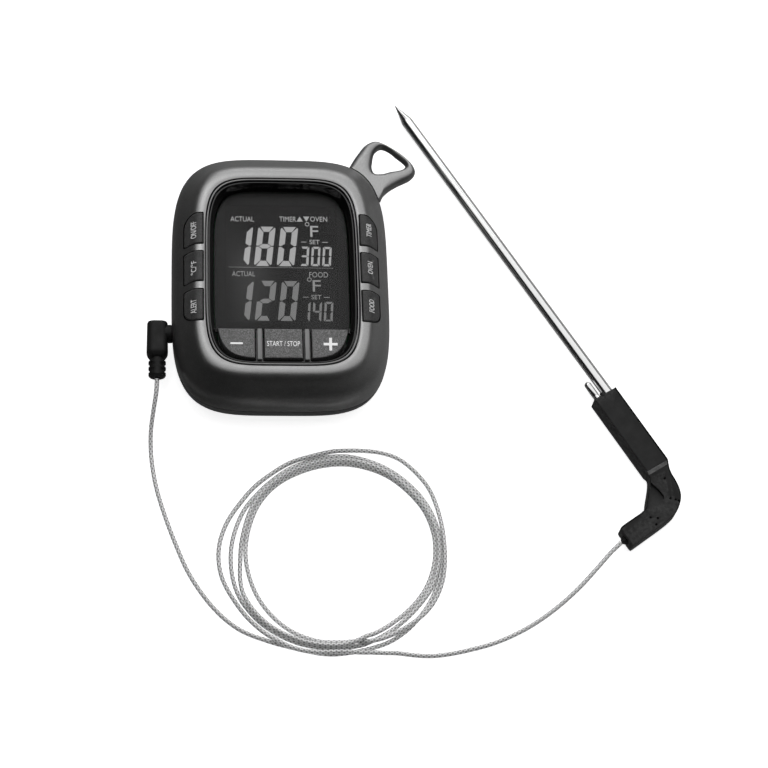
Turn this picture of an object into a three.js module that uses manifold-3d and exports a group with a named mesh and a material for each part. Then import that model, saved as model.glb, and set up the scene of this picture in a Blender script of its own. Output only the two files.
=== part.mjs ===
// Meat thermometer with a handheld display unit, a plug-in lead and a steel food and oven probe.
// The display unit lies on its back. Millimetres, +Z up, +Y towards the top of the display.
import * as THREE from 'three';
import { mergeVertices } from 'three/addons/utils/BufferGeometryUtils.js';
import Module from 'manifold-3d';

const wasm = await Module();
wasm.setup();

// ---------- driving dimensions ----------
const GAP = 0.3;                 // clearance between neighbouring pieces
const RIM_HALF_WIDTH = 28.1;     // bright ring round the window, outer edge
const RIM_HALF_HEIGHT = 38.4;
const MARGIN = 12.4;             // from the ring out to the widest line of the housing
const MARGIN_STRETCH = 1.052;    // the margin is a little longer at top and bottom
const CENTRE_SHIFT = 1.25;       // the housing is centred a little above the window
const RIM_POWER = 5.0;           // squareness of the ring outline
const EDGE_POWER = 4.1;          // squareness of the housing outline
const SEAM_Z = 9.5;              // joint line between the two shells
const CROWN_Z = 25.3;            // highest line of the front shell
const WALL = 2.2;
const RING_POINTS = 40;

const LENS_TOP_Z = 21.0;
const LENS_BOTTOM_Y = -22.6;
const PCB_Z = 13.4;
const PCB_THICKNESS = 1.6;
const BOSS_X = 28.0;
const BOSS_Y_TOP = 37.5;
const BOSS_Y_BOTTOM = -35.1;

const AAA_DIAMETER = 10.5;
const AAA_LENGTH = 44.5;
const BATTERY_Z = 7.75;
const BATTERY_Y = [-21.0, -33.0];
const TRAY_HALF_LENGTH = 24.3;

const JACK_Y = -18.8;
const JACK_Z = 9.0;
const PLUG_X = -45.6;

const CABLE_DIAMETER = 2.0;
const COIL_CENTRE = [19.4, -101.0];
const COIL_INNER = 33.4;
const COIL_OUTER = 40.6;
const COIL_HEIGHT = 4.6;

const GRIP_ORIGIN = [120.83, -40.8, 3.85];   // centre of the grip face the needle leaves
const NEEDLE_ANGLE = -59.53;                 // heading from the needle tip to the grip, degrees
const NEEDLE_TILT = 0.76;                    // the needle slopes down to the table, degrees
const NEEDLE_DIAMETER = 4.5;
const NEEDLE_LENGTH = 146.2;
const NEEDLE_OFFSET = 0.75;                  // at the tip, sideways from the middle of the grip
const NEEDLE_SKEW = 0.555;                   // the needle leans this much across the grip, degrees
const NEEDLE_SEAT_OFFSET = 2.17;             // where it enters the grip
const NEEDLE_RISE = 0.5;                     // above the middle plane of the grip
const OVEN_TUBE_DIAMETER = 2.7;
const OVEN_TUBE_OFFSET = -2.2;
const GRIP_LOW = -4.7;
const GRIP_HIGH = 4.9;
const GRIP_THICKNESS = 7.4;
const GRIP_LENGTH = 34.2;

// ---------- solids ----------
// Turns a three.js geometry into a manifold solid.
function solid(geometry) {
  const plain = geometry.index ? geometry.toNonIndexed() : geometry.clone();
  plain.deleteAttribute('normal');
  plain.deleteAttribute('uv');
  const merged = mergeVertices(plain, 1e-5);
  return new wasm.Manifold(new wasm.Mesh({
    numProp: 3,
    vertProperties: new Float32Array(merged.attributes.position.array),
    triVerts: new Uint32Array(merged.index.array),
  }));
}

// Turns a manifold solid back into a three.js geometry.
function geometryOf(body) {
  const mesh = body.getMesh();
  const geometry = new THREE.BufferGeometry();
  const positions = new Float32Array(mesh.numVert * 3);
  for (let i = 0; i < mesh.numVert; i += 1) {
    for (let k = 0; k < 3; k += 1) {
      positions[i * 3 + k] = mesh.vertProperties[i * mesh.numProp + k];
    }
  }
  geometry.setAttribute('position', new THREE.BufferAttribute(positions, 3));
  geometry.setIndex(new THREE.BufferAttribute(new Uint32Array(mesh.triVerts), 1));
  geometry.computeVertexNormals();
  return geometry;
}

// Points of a superellipse, used for every outline of the housing and window.
function outline(halfWidth, halfHeight, centreY, power, count = RING_POINTS) {
  const points = [];
  for (let i = 0; i < count; i += 1) {
    const angle = (i / count) * Math.PI * 2;
    const c = Math.cos(angle);
    const s = Math.sin(angle);
    const reach = Math.pow(Math.pow(Math.abs(c), power) + Math.pow(Math.abs(s), power), -1 / power);
    points.push([halfWidth * c * reach, centreY + halfHeight * s * reach]);
  }
  return points;
}

// Housing outline at a distance `grow` outside the bright ring.
function housingOutline(grow) {
  const share = Math.min(Math.max(grow / MARGIN, 0), 1);
  const power = RIM_POWER + (EDGE_POWER - RIM_POWER) * share;
  return outline(RIM_HALF_WIDTH + grow, RIM_HALF_HEIGHT + grow * MARGIN_STRETCH,
    CENTRE_SHIFT * share, power);
}

// Closed solid through a stack of outlines that all have the same number of points.
function loft(sections) {
  const count = sections[0].points.length;
  const positions = [];
  sections.forEach((section) => {
    section.points.forEach((point) => positions.push(point[0], point[1], section.z));
  });
  const faces = [];
  for (let k = 0; k < sections.length - 1; k += 1) {
    for (let i = 0; i < count; i += 1) {
      const j = (i + 1) % count;
      const a = k * count + i;
      const b = k * count + j;
      faces.push(a, b, b + count);
      faces.push(a, b + count, a + count);
    }
  }
  const last = (sections.length - 1) * count;
  for (let i = 1; i < count - 1; i += 1) {
    faces.push(0, i + 1, i);
    faces.push(last, last + i, last + i + 1);
  }
  const geometry = new THREE.BufferGeometry();
  geometry.setAttribute('position', new THREE.Float32BufferAttribute(positions, 3));
  geometry.setIndex(faces);
  return solid(geometry);
}

// Solid whose side follows a list of [grow, z] steps round the housing.
function housingLoft(steps) {
  return loft(steps.map(([grow, z]) => ({ points: housingOutline(grow), z })));
}

// Straight prism of an outline between two heights.
function prism(points, z0, z1) {
  const shape = new THREE.Shape(points.map((p) => new THREE.Vector2(p[0], p[1])));
  const geometry = new THREE.ExtrudeGeometry(shape, { depth: z1 - z0, bevelEnabled: false });
  geometry.translate(0, 0, z0);
  return solid(geometry);
}

function box(x0, x1, y0, y1, z0, z1) {
  const geometry = new THREE.BoxGeometry(x1 - x0, y1 - y0, z1 - z0);
  geometry.translate((x0 + x1) / 2, (y0 + y1) / 2, (z0 + z1) / 2);
  return solid(geometry);
}

// Rectangle with round corners, as an extruded plate.
function plate(x0, x1, y0, y1, z0, z1, radius, steps = 4) {
  const points = [];
  const corners = [
    [x1 - radius, y1 - radius, 0],
    [x0 + radius, y1 - radius, 90],
    [x0 + radius, y0 + radius, 180],
    [x1 - radius, y0 + radius, 270],
  ];
  corners.forEach(([cx, cy, start]) => {
    for (let i = 0; i <= steps; i += 1) {
      const angle = THREE.MathUtils.degToRad(start + (90 * i) / steps);
      points.push([cx + radius * Math.cos(angle), cy + radius * Math.sin(angle)]);
    }
  });
  return prism(points, z0, z1);
}

// Turned solid from a closed [radius, height] profile, standing on +Z.
function turned(profile, sides = 18) {
  const points = profile.map((p) => new THREE.Vector2(p[0], p[1]));
  points.push(points[0].clone());
  return new THREE.LatheGeometry(points, sides).rotateX(Math.PI / 2);
}

// Round bar between two heights on +Z.
function bar(x, y, z0, z1, radius, sides = 12) {
  const geometry = turned([[0, z0], [radius, z0], [radius, z1], [0, z1]], sides);
  geometry.translate(x, y, 0);
  return solid(geometry);
}

// Turned solid laid along +X, centred on the given line.
function turnedAlongX(profile, x, y, z, sides = 18) {
  const geometry = turned(profile, sides);
  geometry.rotateY(Math.PI / 2);
  geometry.translate(x, y, z);
  return geometry;
}

// Turned solid laid along -Y, heights of the profile measured towards -Y.
function turnedAlongMinusY(profile, x, y, z, sides = 18) {
  const geometry = turned(profile, sides);
  geometry.rotateX(Math.PI / 2);
  geometry.translate(x, y, z);
  return geometry;
}

// Tube that follows a list of points.
function tube(points, radius, sides, steps, caps = true) {
  const path = new THREE.CatmullRomCurve3(points.map((p) => new THREE.Vector3(...p)), false, 'centripetal');
  const circle = new THREE.Shape();
  circle.absarc(0, 0, radius, 0, Math.PI * 2, false);
  return new THREE.ExtrudeGeometry(circle, {
    steps, extrudePath: path, curveSegments: sides / 2, bevelEnabled: !caps,
  });
}

// ---------- group and materials ----------
const group = new THREE.Group();
group.name = 'meat_thermometer';

function add(name, body, color, roughness, metalness, extra = {}) {
  const geometry = body.isBufferGeometry ? body : geometryOf(body);
  const material = new THREE.MeshStandardMaterial({ color, roughness, metalness, ...extra });
  material.name = name;
  const mesh = new THREE.Mesh(geometry, material);
  mesh.name = name;
  group.add(mesh);
}

// ---------- housing ----------
const FRONT_STEPS = [
  [12.4, SEAM_Z + GAP], [12.2, 13.4], [11.3, 16.6], [9.6, 18.9], [7.4, 21.3],
  [5.0, 24.15], [3.2, 25.1], [1.2, CROWN_Z], [0.4, 25.0],
];
const FRONT_CAVITY = [
  [10.2, SEAM_Z - 1], [10.1, 13.0], [8.9, 15.9], [5.6, 19.0], [1.8, 22.6],
];
const REAR_STEPS = [[7.2, 0], [9.4, 1.2], [11.3, 3.5], [12.2, 6.5], [12.4, SEAM_Z]];
const REAR_CAVITY = [[7.2, WALL], [9.4, 4.4], [10.2, SEAM_Z + 1]];

const BOSSES = [
  [-BOSS_X, BOSS_Y_TOP], [BOSS_X, BOSS_Y_TOP], [-BOSS_X, BOSS_Y_BOTTOM], [BOSS_X, BOSS_Y_BOTTOM],
];

// Side keys: [name on the left, name on the right, lower edge, upper edge].
const SIDE_KEYS = [
  ['key_power', 'key_timer', 10.7, 23.5],
  ['key_units', 'key_oven', -4.7, 7.5],
  ['key_alert', 'key_food', -20.6, -8.1],
];
const SIDE_KEY_INNER = 29.2;
const SIDE_KEY_OUTER = 35.9;

// Outline of one side key or its opening; the outer corners of the end keys are well rounded.
function sideKeyPlan(side, y0, y1, spare, roundLow, roundHigh) {
  const x0 = SIDE_KEY_INNER - spare;
  const x1 = SIDE_KEY_OUTER + spare;
  const low = y0 - spare;
  const high = y1 + spare;
  const bend = 5.0;
  const points = [[x0, low]];
  if (roundLow) {
    for (let i = 0; i <= 5; i += 1) {
      const a = THREE.MathUtils.degToRad(-90 + 18 * i);
      points.push([x1 - bend + bend * Math.cos(a), low + bend + bend * Math.sin(a)]);
    }
  } else {
    points.push([x1, low]);
  }
  if (roundHigh) {
    for (let i = 0; i <= 5; i += 1) {
      const a = THREE.MathUtils.degToRad(18 * i);
      points.push([x1 - bend + bend * Math.cos(a), high - bend + bend * Math.sin(a)]);
    }
  } else {
    points.push([x1, high]);
  }
  points.push([x0, high]);
  if (side > 0) {
    return points;
  }
  return points.map(([x, y]) => [-x, y]).reverse();
}

let frontShell = housingLoft(FRONT_STEPS);
frontShell = frontShell.subtract(housingLoft(FRONT_CAVITY));
frontShell = frontShell.subtract(prism(housingOutline(GAP), 20, 30));
BOSSES.forEach(([x, y]) => {
  frontShell = frontShell.add(bar(x, y, SEAM_Z + GAP, 21.6, 3.0));
  frontShell = frontShell.subtract(bar(x, y, 0, 16.5, 1.25, 12));
});
[-1, 1].forEach((side) => {
  SIDE_KEYS.forEach(([, , y0, y1], index) => {
    const plan = sideKeyPlan(side, y0, y1, 0.4, index === 2, index === 0);
    frontShell = frontShell.subtract(prism(plan, 12, 30));
  });
});
const jackHole = solid(turnedAlongX([[0, -6], [3.8, -6], [3.8, 6], [0, 6]], -39, JACK_Y, JACK_Z));
frontShell = frontShell.subtract(jackHole);

let rearShell = housingLoft(REAR_STEPS);
rearShell = rearShell.subtract(housingLoft(REAR_CAVITY));
rearShell = rearShell.add(box(-25.9, 25.9, -41.3, -12.7, 0.8, 12.6));
BOSSES.forEach(([x, y]) => {
  rearShell = rearShell.add(bar(x, y, 0.8, SEAM_Z - GAP, 3.7));
});
rearShell = rearShell.subtract(box(-TRAY_HALF_LENGTH, TRAY_HALF_LENGTH, -39.4, -14.6, -1, 14));
rearShell = rearShell.subtract(box(-25.2, 25.2, -60, -12.2, -1, 2.0));
BOSSES.forEach(([x, y]) => {
  rearShell = rearShell.subtract(bar(x, y, -1, 11, 1.6, 12));
  rearShell = rearShell.subtract(bar(x, y, -1, 3.0, 3.0));
  rearShell = rearShell.subtract(bar(x, y, SEAM_Z - GAP, 14, 3.4));
});
rearShell = rearShell.subtract(jackHole);
for (let i = 0; i < 4; i += 1) {
  rearShell = rearShell.subtract(box(-8, 8, 26 + i * 2.4, 27 + i * 2.4, -1, 3));
}

add('front_shell', frontShell, 0x4a4b4d, 0.42, 0.1);
add('rear_shell', rearShell, 0x2b2c2d, 0.5, 0.0);

let batteryDoor = box(-24.9, 24.9, -55, -12.5, 0, 1.7);
batteryDoor = batteryDoor.intersect(housingLoft(REAR_STEPS));
for (let i = 0; i < 3; i += 1) {
  batteryDoor = batteryDoor.subtract(box(-7, 7, -18.5 + i * 1.8, -17.7 + i * 1.8, -1, 0.5));
}
add('battery_door', batteryDoor, 0x2b2c2d, 0.5, 0.0);

// ---------- window and display ----------
const trimRing = prism(housingOutline(0), 23.9, 25.1).subtract(prism(housingOutline(-0.7), 23, 26));
add('trim_ring', trimRing, 0xb9bbbd, 0.25, 0.9);

const windowFloor = outline(25.2, 35.6, 0, RIM_POWER);
let windowFrame = prism(housingOutline(-0.7 - GAP), 18.0, 24.6);
windowFrame = windowFrame.add(prism(housingOutline(0.8), 19.6, 22.2));
windowFrame = windowFrame.subtract(loft([
  { points: windowFloor, z: LENS_TOP_Z + 0.1 },
  { points: outline(26.7, 37.0, 0, RIM_POWER), z: 24.7 },
]));
const keyZone = prism(windowFloor, 17, 24);
const KEY_HOLES = [[-25.5, -9.9], [-7.4, 7.4], [9.9, 25.5]];
KEY_HOLES.forEach(([x0, x1]) => {
  windowFrame = windowFrame.subtract(keyZone.intersect(box(x0, x1, -35.1, LENS_BOTTOM_Y, 17, 24)));
});
windowFrame = windowFrame.subtract(keyZone.intersect(box(-30, 30, -20.8, 40, 17, 24)));
windowFrame = windowFrame.subtract(keyZone.intersect(box(-30, 30, LENS_BOTTOM_Y - 0.1, 0, 19.2, 24)));
BOSSES.forEach(([x, y]) => {
  windowFrame = windowFrame.subtract(bar(x, y, 17, 26, 3.4));
});
add('window_frame', windowFrame, 0x0b0b0c, 0.12, 0.0);

const lensBody = prism(outline(24.9, 35.3, 0, RIM_POWER), 19.5, LENS_TOP_Z);
add('display_lens', lensBody.intersect(box(-30, 30, LENS_BOTTOM_Y + 0.2, 40, 18, 22)),
  0x2a2b2d, 0.08, 0.0, { transparent: true, opacity: 0.35 });
add('lcd_glass', box(-21.6, 21.6, -19.6, 30.6, 17.3, 19.1), 0x3c4042, 0.2, 0.0);
add('backlight_panel', box(-21.4, 21.4, -19.4, 27.4, 15.5, 17.0), 0xe8e8e2, 0.5, 0.0);
add('zebra_strip', box(-21.0, 21.0, 28.0, 30.0, 15.3, 17.0), 0xd9a3a0, 0.8, 0.0);

// Bars between the three lower keys.
[[-1, 'key_bar_left'], [1, 'key_bar_right']].forEach(([side, name]) => {
  const x = side * 8.65;
  add(name, box(x - 0.85, x + 0.85, -35.4, -23.0, LENS_TOP_Z + GAP, 23.3), 0x8b8c8e, 0.4, 0.1);
});

// ---------- lower keys ----------
const LOWER_KEYS = [
  ['key_minus', -24.7, -10.4], ['key_start_stop', -6.9, 6.9], ['key_plus', 10.4, 24.7],
];
const keyPlan = prism(outline(24.4, 34.8, 0, RIM_POWER), 18.4, 23.2);
LOWER_KEYS.forEach(([name, x0, x1]) => {
  add(name, keyPlan.intersect(box(x0, x1, -34.7, -23.0, 18.4, 24)), 0x5d5e60, 0.6, 0.0);
});
let lowerMat = plate(-23.5, 23.5, -33.8, -23.4, 15.3, 15.9, 1.5);
[-16.5, 0, 16.5].forEach((x) => {
  lowerMat = lowerMat.add(bar(x, -28.8, 15.5, 17.1, 2.6, 16));
});
add('keymat_lower', lowerMat, 0x9c9c96, 0.8, 0.0);

// ---------- side keys ----------
const keyCrown = housingLoft(FRONT_STEPS.map(([grow, z]) => [grow + 0.3, z + 0.35]));
[-1, 1].forEach((side) => {
  SIDE_KEYS.forEach(([left, right, y0, y1], index) => {
    const plan = sideKeyPlan(side, y0, y1, 0, index === 2, index === 0);
    const body = prism(plan, 17.3, 30).intersect(keyCrown);
    add(side < 0 ? left : right, body, 0x505153, 0.6, 0.0);
  });
  const inner = side < 0 ? -34.6 : 30.6;
  let mat = plate(inner, inner + 4, -19.8, 22.8, 15.3, 15.5, 1.0);
  [17.1, 1.4, -14.4].forEach((y) => {
    mat = mat.add(bar(inner + 2, y, 15.4, 16.0, 1.8, 14));
  });
  add(side < 0 ? 'keymat_left' : 'keymat_right', mat, 0x9c9c96, 0.8, 0.0);
});

// ---------- electronics ----------
let pcb = prism(outline(35.6, 45.6, CENTRE_SHIFT, EDGE_POWER + 0.4), PCB_Z, PCB_Z + PCB_THICKNESS);
BOSSES.forEach(([x, y]) => {
  pcb = pcb.subtract(bar(x, y, 10, 20, 3.5));
});
const PCB_SCREWS = [[-18, 40.5], [18, 40.5]];
PCB_SCREWS.forEach(([x, y]) => {
  pcb = pcb.subtract(bar(x, y, 10, 20, 1.5, 12));
});
add('main_pcb', pcb, 0x1f5a34, 0.45, 0.0);
PCB_SCREWS.forEach(([x, y], index) => {
  const screw = turned([[0, 11.6], [1.0, 11.6], [1.0, 15.3], [2.2, 15.3], [2.0, 16.4], [0, 16.4]], 12);
  add(`pcb_screw_${index + 1}`, screw.translate(x, y, 0), 0xc0c2c4, 0.3, 0.9);
});
add('controller_chip', turned([[0, 11.7], [5.6, 11.7], [6.4, 12.4], [6.4, 13.1], [0, 13.1]], 16)
  .translate(-8, 18, 0), 0x141414, 0.5, 0.0);
add('buzzer', turned([[0, 2.6], [9.5, 2.6], [9.5, 6.2], [2.0, 6.2], [2.0, 5.0], [0, 5.0]], 20)
  .translate(0, 29.8, 0), 0x161616, 0.6, 0.0);

let jackSocket = box(-36.9, -26.6, JACK_Y - 3.6, JACK_Y + 3.6, JACK_Z - 3.6, 13.0);
jackSocket = jackSocket.subtract(
  solid(turnedAlongX([[0, -20], [1.6, -20], [1.6, 20], [0, 20]], -36, JACK_Y, JACK_Z, 16)));
add('jack_socket', jackSocket, 0x1b1b1c, 0.5, 0.0);

BATTERY_Y.forEach((y, index) => {
  const r = AAA_DIAMETER / 2;
  const cell = [
    [0, 0.2], [3.2, 0.2], [3.2, 0], [r - 0.3, 0], [r, 0.3], [r, 43.2], [r - 0.3, 43.6],
    [1.9, 43.6], [1.9, AAA_LENGTH], [0, AAA_LENGTH],
  ];
  const direction = index === 0 ? 1 : -1;
  const geometry = turned(cell, 16).rotateY((direction * Math.PI) / 2);
  geometry.translate(-21.6 * direction, y, BATTERY_Z);
  add(`battery_${index + 1}`, geometry, 0x6f8f4e, 0.35, 0.4);
  const wire = [];
  for (let i = 0; i <= 20; i += 1) {
    const angle = (i / 20) * Math.PI * 2 * 2;
    const reach = 3.2 - (i / 20) * 1.2;
    const x = (-23.85 + (i / 20) * 1.65) * direction;
    wire.push([x, y + reach * Math.cos(angle), BATTERY_Z + reach * Math.sin(angle)]);
  }
  add(`battery_spring_${index + 1}`, tube(wire, 0.25, 4, 24), 0xb8babc, 0.3, 0.95);
  const tab = direction > 0 ? 23.3 : -23.7;
  add(`battery_contact_${index + 1}`, box(tab, tab + 0.4, y - 4.2, y + 4.2, 3.4, 12.9),
    0xc9cbcd, 0.3, 0.95);
});

BOSSES.forEach(([x, y], index) => {
  const profile = [
    [0, 1.2], [0.7, 1.2], [0.7, 0.5], [2.6, 0.5], [2.6, 2.5], [0.95, 2.6], [0.95, 15.5], [0, 16.2],
  ];
  add(`case_screw_${index + 1}`, turned(profile, 10).translate(x, y, 0), 0x8f9193, 0.35, 0.9);
});

// ---------- hanging loop ----------
const LOOP_Z = [11.6, 16.8];
const loopEdge = [
  [27.2, 50.0], [29.0, 53.3], [30.9, 56.2], [33.3, 59.3], [37.3, 61.3], [43.0, 58.8], [48.6, 54.6],
  [51.9, 50.4], [52.4, 47.8], [50.5, 45.2], [45.2, 42.2], [41.7, 39.8], [39.3, 37.2], [38.3, 34.8],
  [36.8, 33.8], [25.6, 46.6],
];
const loopHole = [
  [39.8, 58.7], [42.4, 57.8], [45.2, 55.2], [48.5, 52.0], [48.7, 50.4], [47.2, 49.0], [42.6, 48.0],
  [39.7, 47.1], [36.8, 47.2], [35.8, 49.5], [36.0, 52.1], [37.2, 56.7],
];
let hangingLoop = solid(new THREE.ExtrudeGeometry(
  new THREE.Shape(loopEdge.map((p) => new THREE.Vector2(p[0], p[1]))), {
    depth: LOOP_Z[1] - LOOP_Z[0] - 2.4, bevelEnabled: true, bevelThickness: 1.2, bevelSize: 1.0,
    bevelOffset: -1.0, bevelSegments: 2,
  }).translate(0, 0, LOOP_Z[0] + 1.2));
hangingLoop = hangingLoop.subtract(prism(loopHole, 8, 20));
hangingLoop = hangingLoop.subtract(housingLoft([
  [12.4 + GAP, 9], [12.3 + GAP, 13], [11.7 + GAP, 16], [10.6 + GAP, 17.9], [10.3 + GAP, 18.2],
]));
add('hanging_loop', hangingLoop, 0x444547, 0.42, 0.1);

// ---------- plug ----------
add('jack_pin', turnedAlongX([
  [0, 0], [1.25, 0], [1.25, 7.9], [0.95, 8.3], [0.95, 8.9], [1.25, 9.4], [0.9, 10.8], [0.3, 11.6], [0, 11.6],
], -39.4, JACK_Y, JACK_Z, 16), 0xc8b27a, 0.25, 0.95);
let plugBody = solid(turnedAlongX([[0, 0], [3.4, 0], [3.4, 4.6], [0, 4.6]], -44.3, JACK_Y, JACK_Z));
plugBody = plugBody.add(solid(turnedAlongMinusY([
  [0, 0.8], [3.5, 0.8], [3.8, 1.1], [3.85, 3.0], [3.95, 12.6], [3.5, 13.8], [2.6, 15.1], [0, 15.1],
], PLUG_X, -14.0, JACK_Z)));
add('plug_body', plugBody, 0x1d1d1e, 0.6, 0.0);
const relief = [[0.0, 0], [2.5, 0]];
[0.7, 3.0, 5.3].forEach((y) => {
  relief.push([2.3, y], [3.15, y + 0.5], [3.2, y + 1.3], [2.3, y + 1.7]);
});
relief.push([1.6, 7.2], [0, 7.2]);
add('plug_strain_relief', turnedAlongMinusY(relief, PLUG_X, -29.1 - GAP, JACK_Z, 14),
  0x1d1d1e, 0.7, 0.0);

// ---------- cable ----------
const cableRadius = CABLE_DIAMETER / 2;
const PLUG_RUN = [
  [-45.6, -36.9, 9.0], [-45.9, -42.0, 8.0], [-46.8, -48.0, 5.9], [-47.7, -55.0, 3.3], [-47.7, -62.0, 1.5],
  [-47.0, -69.0, 1.06], [-45.4, -77.5, 1.05], [-42.6, -87.1, 1.05], [-38.5, -98.6, 1.05],
  [-34.4, -108.4, 1.05], [-30.2, -115.6, 1.05], [-25.2, -122.3, 1.05], [-19.6, -127.8, 1.05],
  [-13.1, -131.9, 1.05],
];
const PROBE_RUN = [
  [39.0, -139.2, 1.05], [44.0, -139.9, 1.05], [51.1, -140.4, 1.05], [58.3, -139.7, 1.05],
  [65.6, -138.2, 1.05], [74.7, -135.7, 1.1], [84.0, -131.75, 1.35], [92.05, -127.1, 1.8],
  [100.1, -121.2, 2.4], [107.15, -114.95, 3.1], [113.65, -108.2, 3.7], [118.9, -102.6, 4.25],
  [122.6, -99.2, 4.5],
];
add('cable_plug_run', tube(PLUG_RUN, cableRadius, 8, 24), 0xb9babc, 0.35, 0.8);
add('cable_probe_run', tube(PROBE_RUN, cableRadius, 8, 20), 0xb9babc, 0.35, 0.8);
add('cable_coil', turned([
  [COIL_INNER + 0.8, 0], [COIL_OUTER - 0.8, 0], [COIL_OUTER, 0.8], [COIL_OUTER, COIL_HEIGHT - 1.2],
  [COIL_OUTER - 1.4, COIL_HEIGHT], [COIL_INNER + 1.4, COIL_HEIGHT], [COIL_INNER, COIL_HEIGHT - 1.2],
  [COIL_INNER, 0.8],
], 36).translate(COIL_CENTRE[0], COIL_CENTRE[1], 0), 0xb9babc, 0.35, 0.8);

// ---------- probe ----------
// The probe is drawn along +X from the grip face, then laid on the table.
const probeMatrix = new THREE.Matrix4()
  .makeTranslation(...GRIP_ORIGIN)
  .multiply(new THREE.Matrix4().makeRotationZ(THREE.MathUtils.degToRad(NEEDLE_ANGLE)))
  .multiply(new THREE.Matrix4().makeRotationY(THREE.MathUtils.degToRad(-NEEDLE_TILT)));

function layProbe(body) {
  const geometry = body.isBufferGeometry ? body : geometryOf(body);
  return geometry.applyMatrix4(probeMatrix);
}

const needleRadius = NEEDLE_DIAMETER / 2;
const needleBore = 1.55;
const needle = turnedAlongX([
  [0, 0], [needleRadius, 8.6], [needleRadius, NEEDLE_LENGTH + 12], [needleBore, NEEDLE_LENGTH + 12],
  [needleBore, 9.6], [0, 6.4],
], -NEEDLE_LENGTH, NEEDLE_OFFSET, NEEDLE_RISE, 24);
needle.translate(NEEDLE_LENGTH, -NEEDLE_OFFSET, 0);
needle.rotateZ(THREE.MathUtils.degToRad(NEEDLE_SKEW));
needle.translate(-NEEDLE_LENGTH, NEEDLE_OFFSET, 0);
add('probe_needle', layProbe(needle), 0xcfd1d3, 0.16, 1.0);
add('food_thermistor', layProbe(turnedAlongX([
  [0, 0], [0.7, 0.3], [1.1, 1.4], [1.1, 5.0], [0, 5.0],
], -NEEDLE_LENGTH + 9.4, NEEDLE_OFFSET, NEEDLE_RISE, 14)), 0x2a1c12, 0.5, 0.0);

const ovenRadius = OVEN_TUBE_DIAMETER / 2;
const ovenProfile = [];
for (let i = 0; i <= 4; i += 1) {
  const a = (i / 4) * (Math.PI / 2);
  ovenProfile.push([ovenRadius * Math.sin(a), ovenRadius * (1 - Math.cos(a))]);
}
ovenProfile.push([ovenRadius, 16], [0.95, 16], [0.95, 1.6], [0, 0.9]);
add('oven_sensor_tube', layProbe(turnedAlongX(ovenProfile, -8.2, OVEN_TUBE_OFFSET, 0, 18)),
  0xcfd1d3, 0.2, 1.0);
add('oven_thermistor', layProbe(turnedAlongX([
  [0, 0], [0.6, 0.4], [0.65, 3.6], [0, 3.6],
], -6.0, OVEN_TUBE_OFFSET, 0, 12)), 0x2a1c12, 0.5, 0.0);

// Rounded slab cut from an outline, for the two parts of the grip.
function roundedSlab(points, thickness, bevel) {
  const shape = new THREE.Shape(points.map((p) => new THREE.Vector2(p[0], p[1])));
  const geometry = new THREE.ExtrudeGeometry(shape, {
    depth: thickness - 2 * bevel, bevelEnabled: true, bevelThickness: bevel, bevelSize: bevel,
    bevelOffset: -bevel, bevelSegments: 2,
  });
  geometry.translate(0, 0, -(thickness - 2 * bevel) / 2);
  return solid(geometry);
}

let grip = roundedSlab([
  [0, GRIP_LOW], [GRIP_LENGTH - 0.6, GRIP_LOW], [GRIP_LENGTH + 2.2, GRIP_LOW + 1.1],
  [GRIP_LENGTH + 2.2, GRIP_HIGH - 0.9], [GRIP_LENGTH, GRIP_HIGH], [0, GRIP_HIGH],
], GRIP_THICKNESS, 0.9);
grip = grip.intersect(box(0, 60, -20, 20, -10, 10));
const elbow = roundedSlab([
  [GRIP_LENGTH - 3, -3.9], [36.8, -4.9], [45.3, -12.8], [46.2, -16.0], [46.9, -25.9], [55.0, -25.9],
  [53.9, -11.6], [52.6, -4.4], [50.5, -1.1], [47.0, 1.7], [42.0, 2.9], [39.1, 3.1], [35.8, 4.5],
  [GRIP_LENGTH - 3, 4.5],
], 5.8, 0.8);
grip = grip.add(elbow);
const webPocket = prism([[38.4, -5.4], [45.8, -12.4], [46.4, -5.6], [42.0, -4.4]], -10, 10);
grip = grip.subtract(webPocket.subtract(box(30, 60, -30, 10, -1.5, 1.5)));
const seatRadius = needleRadius + GAP / 2;
const needleSeat = turnedAlongX([[0, 0], [seatRadius, 0], [seatRadius, 13], [0, 13]],
  -0.6, NEEDLE_SEAT_OFFSET + 0.05, NEEDLE_RISE, 24);
grip = grip.subtract(solid(needleSeat));
const ovenSeat = turnedAlongX([[0, 0], [ovenRadius + GAP, 0], [ovenRadius + GAP, 9], [0, 9]],
  -0.6, OVEN_TUBE_OFFSET, 0, 18);
grip = grip.subtract(solid(ovenSeat));
const exitSeat = turnedAlongMinusY([[0, 0], [1.6, 0], [1.6, 8], [0, 8]], 51.2, -21.4, 0, 16);
grip = grip.subtract(solid(exitSeat));
add('probe_grip', layProbe(grip), 0x1c1c1d, 0.75, 0.0);
add('cable_bush', layProbe(turnedAlongMinusY([
  [0, 0], [1.3, 0], [1.3, 5.0], [1.0, 5.6], [0, 5.6],
], 51.2, -21.8, 0, 14)), 0x151515, 0.7, 0.0);

export default group;
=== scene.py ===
"""Meat thermometer: display unit on its back, plug-in braided lead, steel food and oven probe."""
import math

import bmesh
import bpy
import numpy as np
from mathutils import Matrix, Vector


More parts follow.
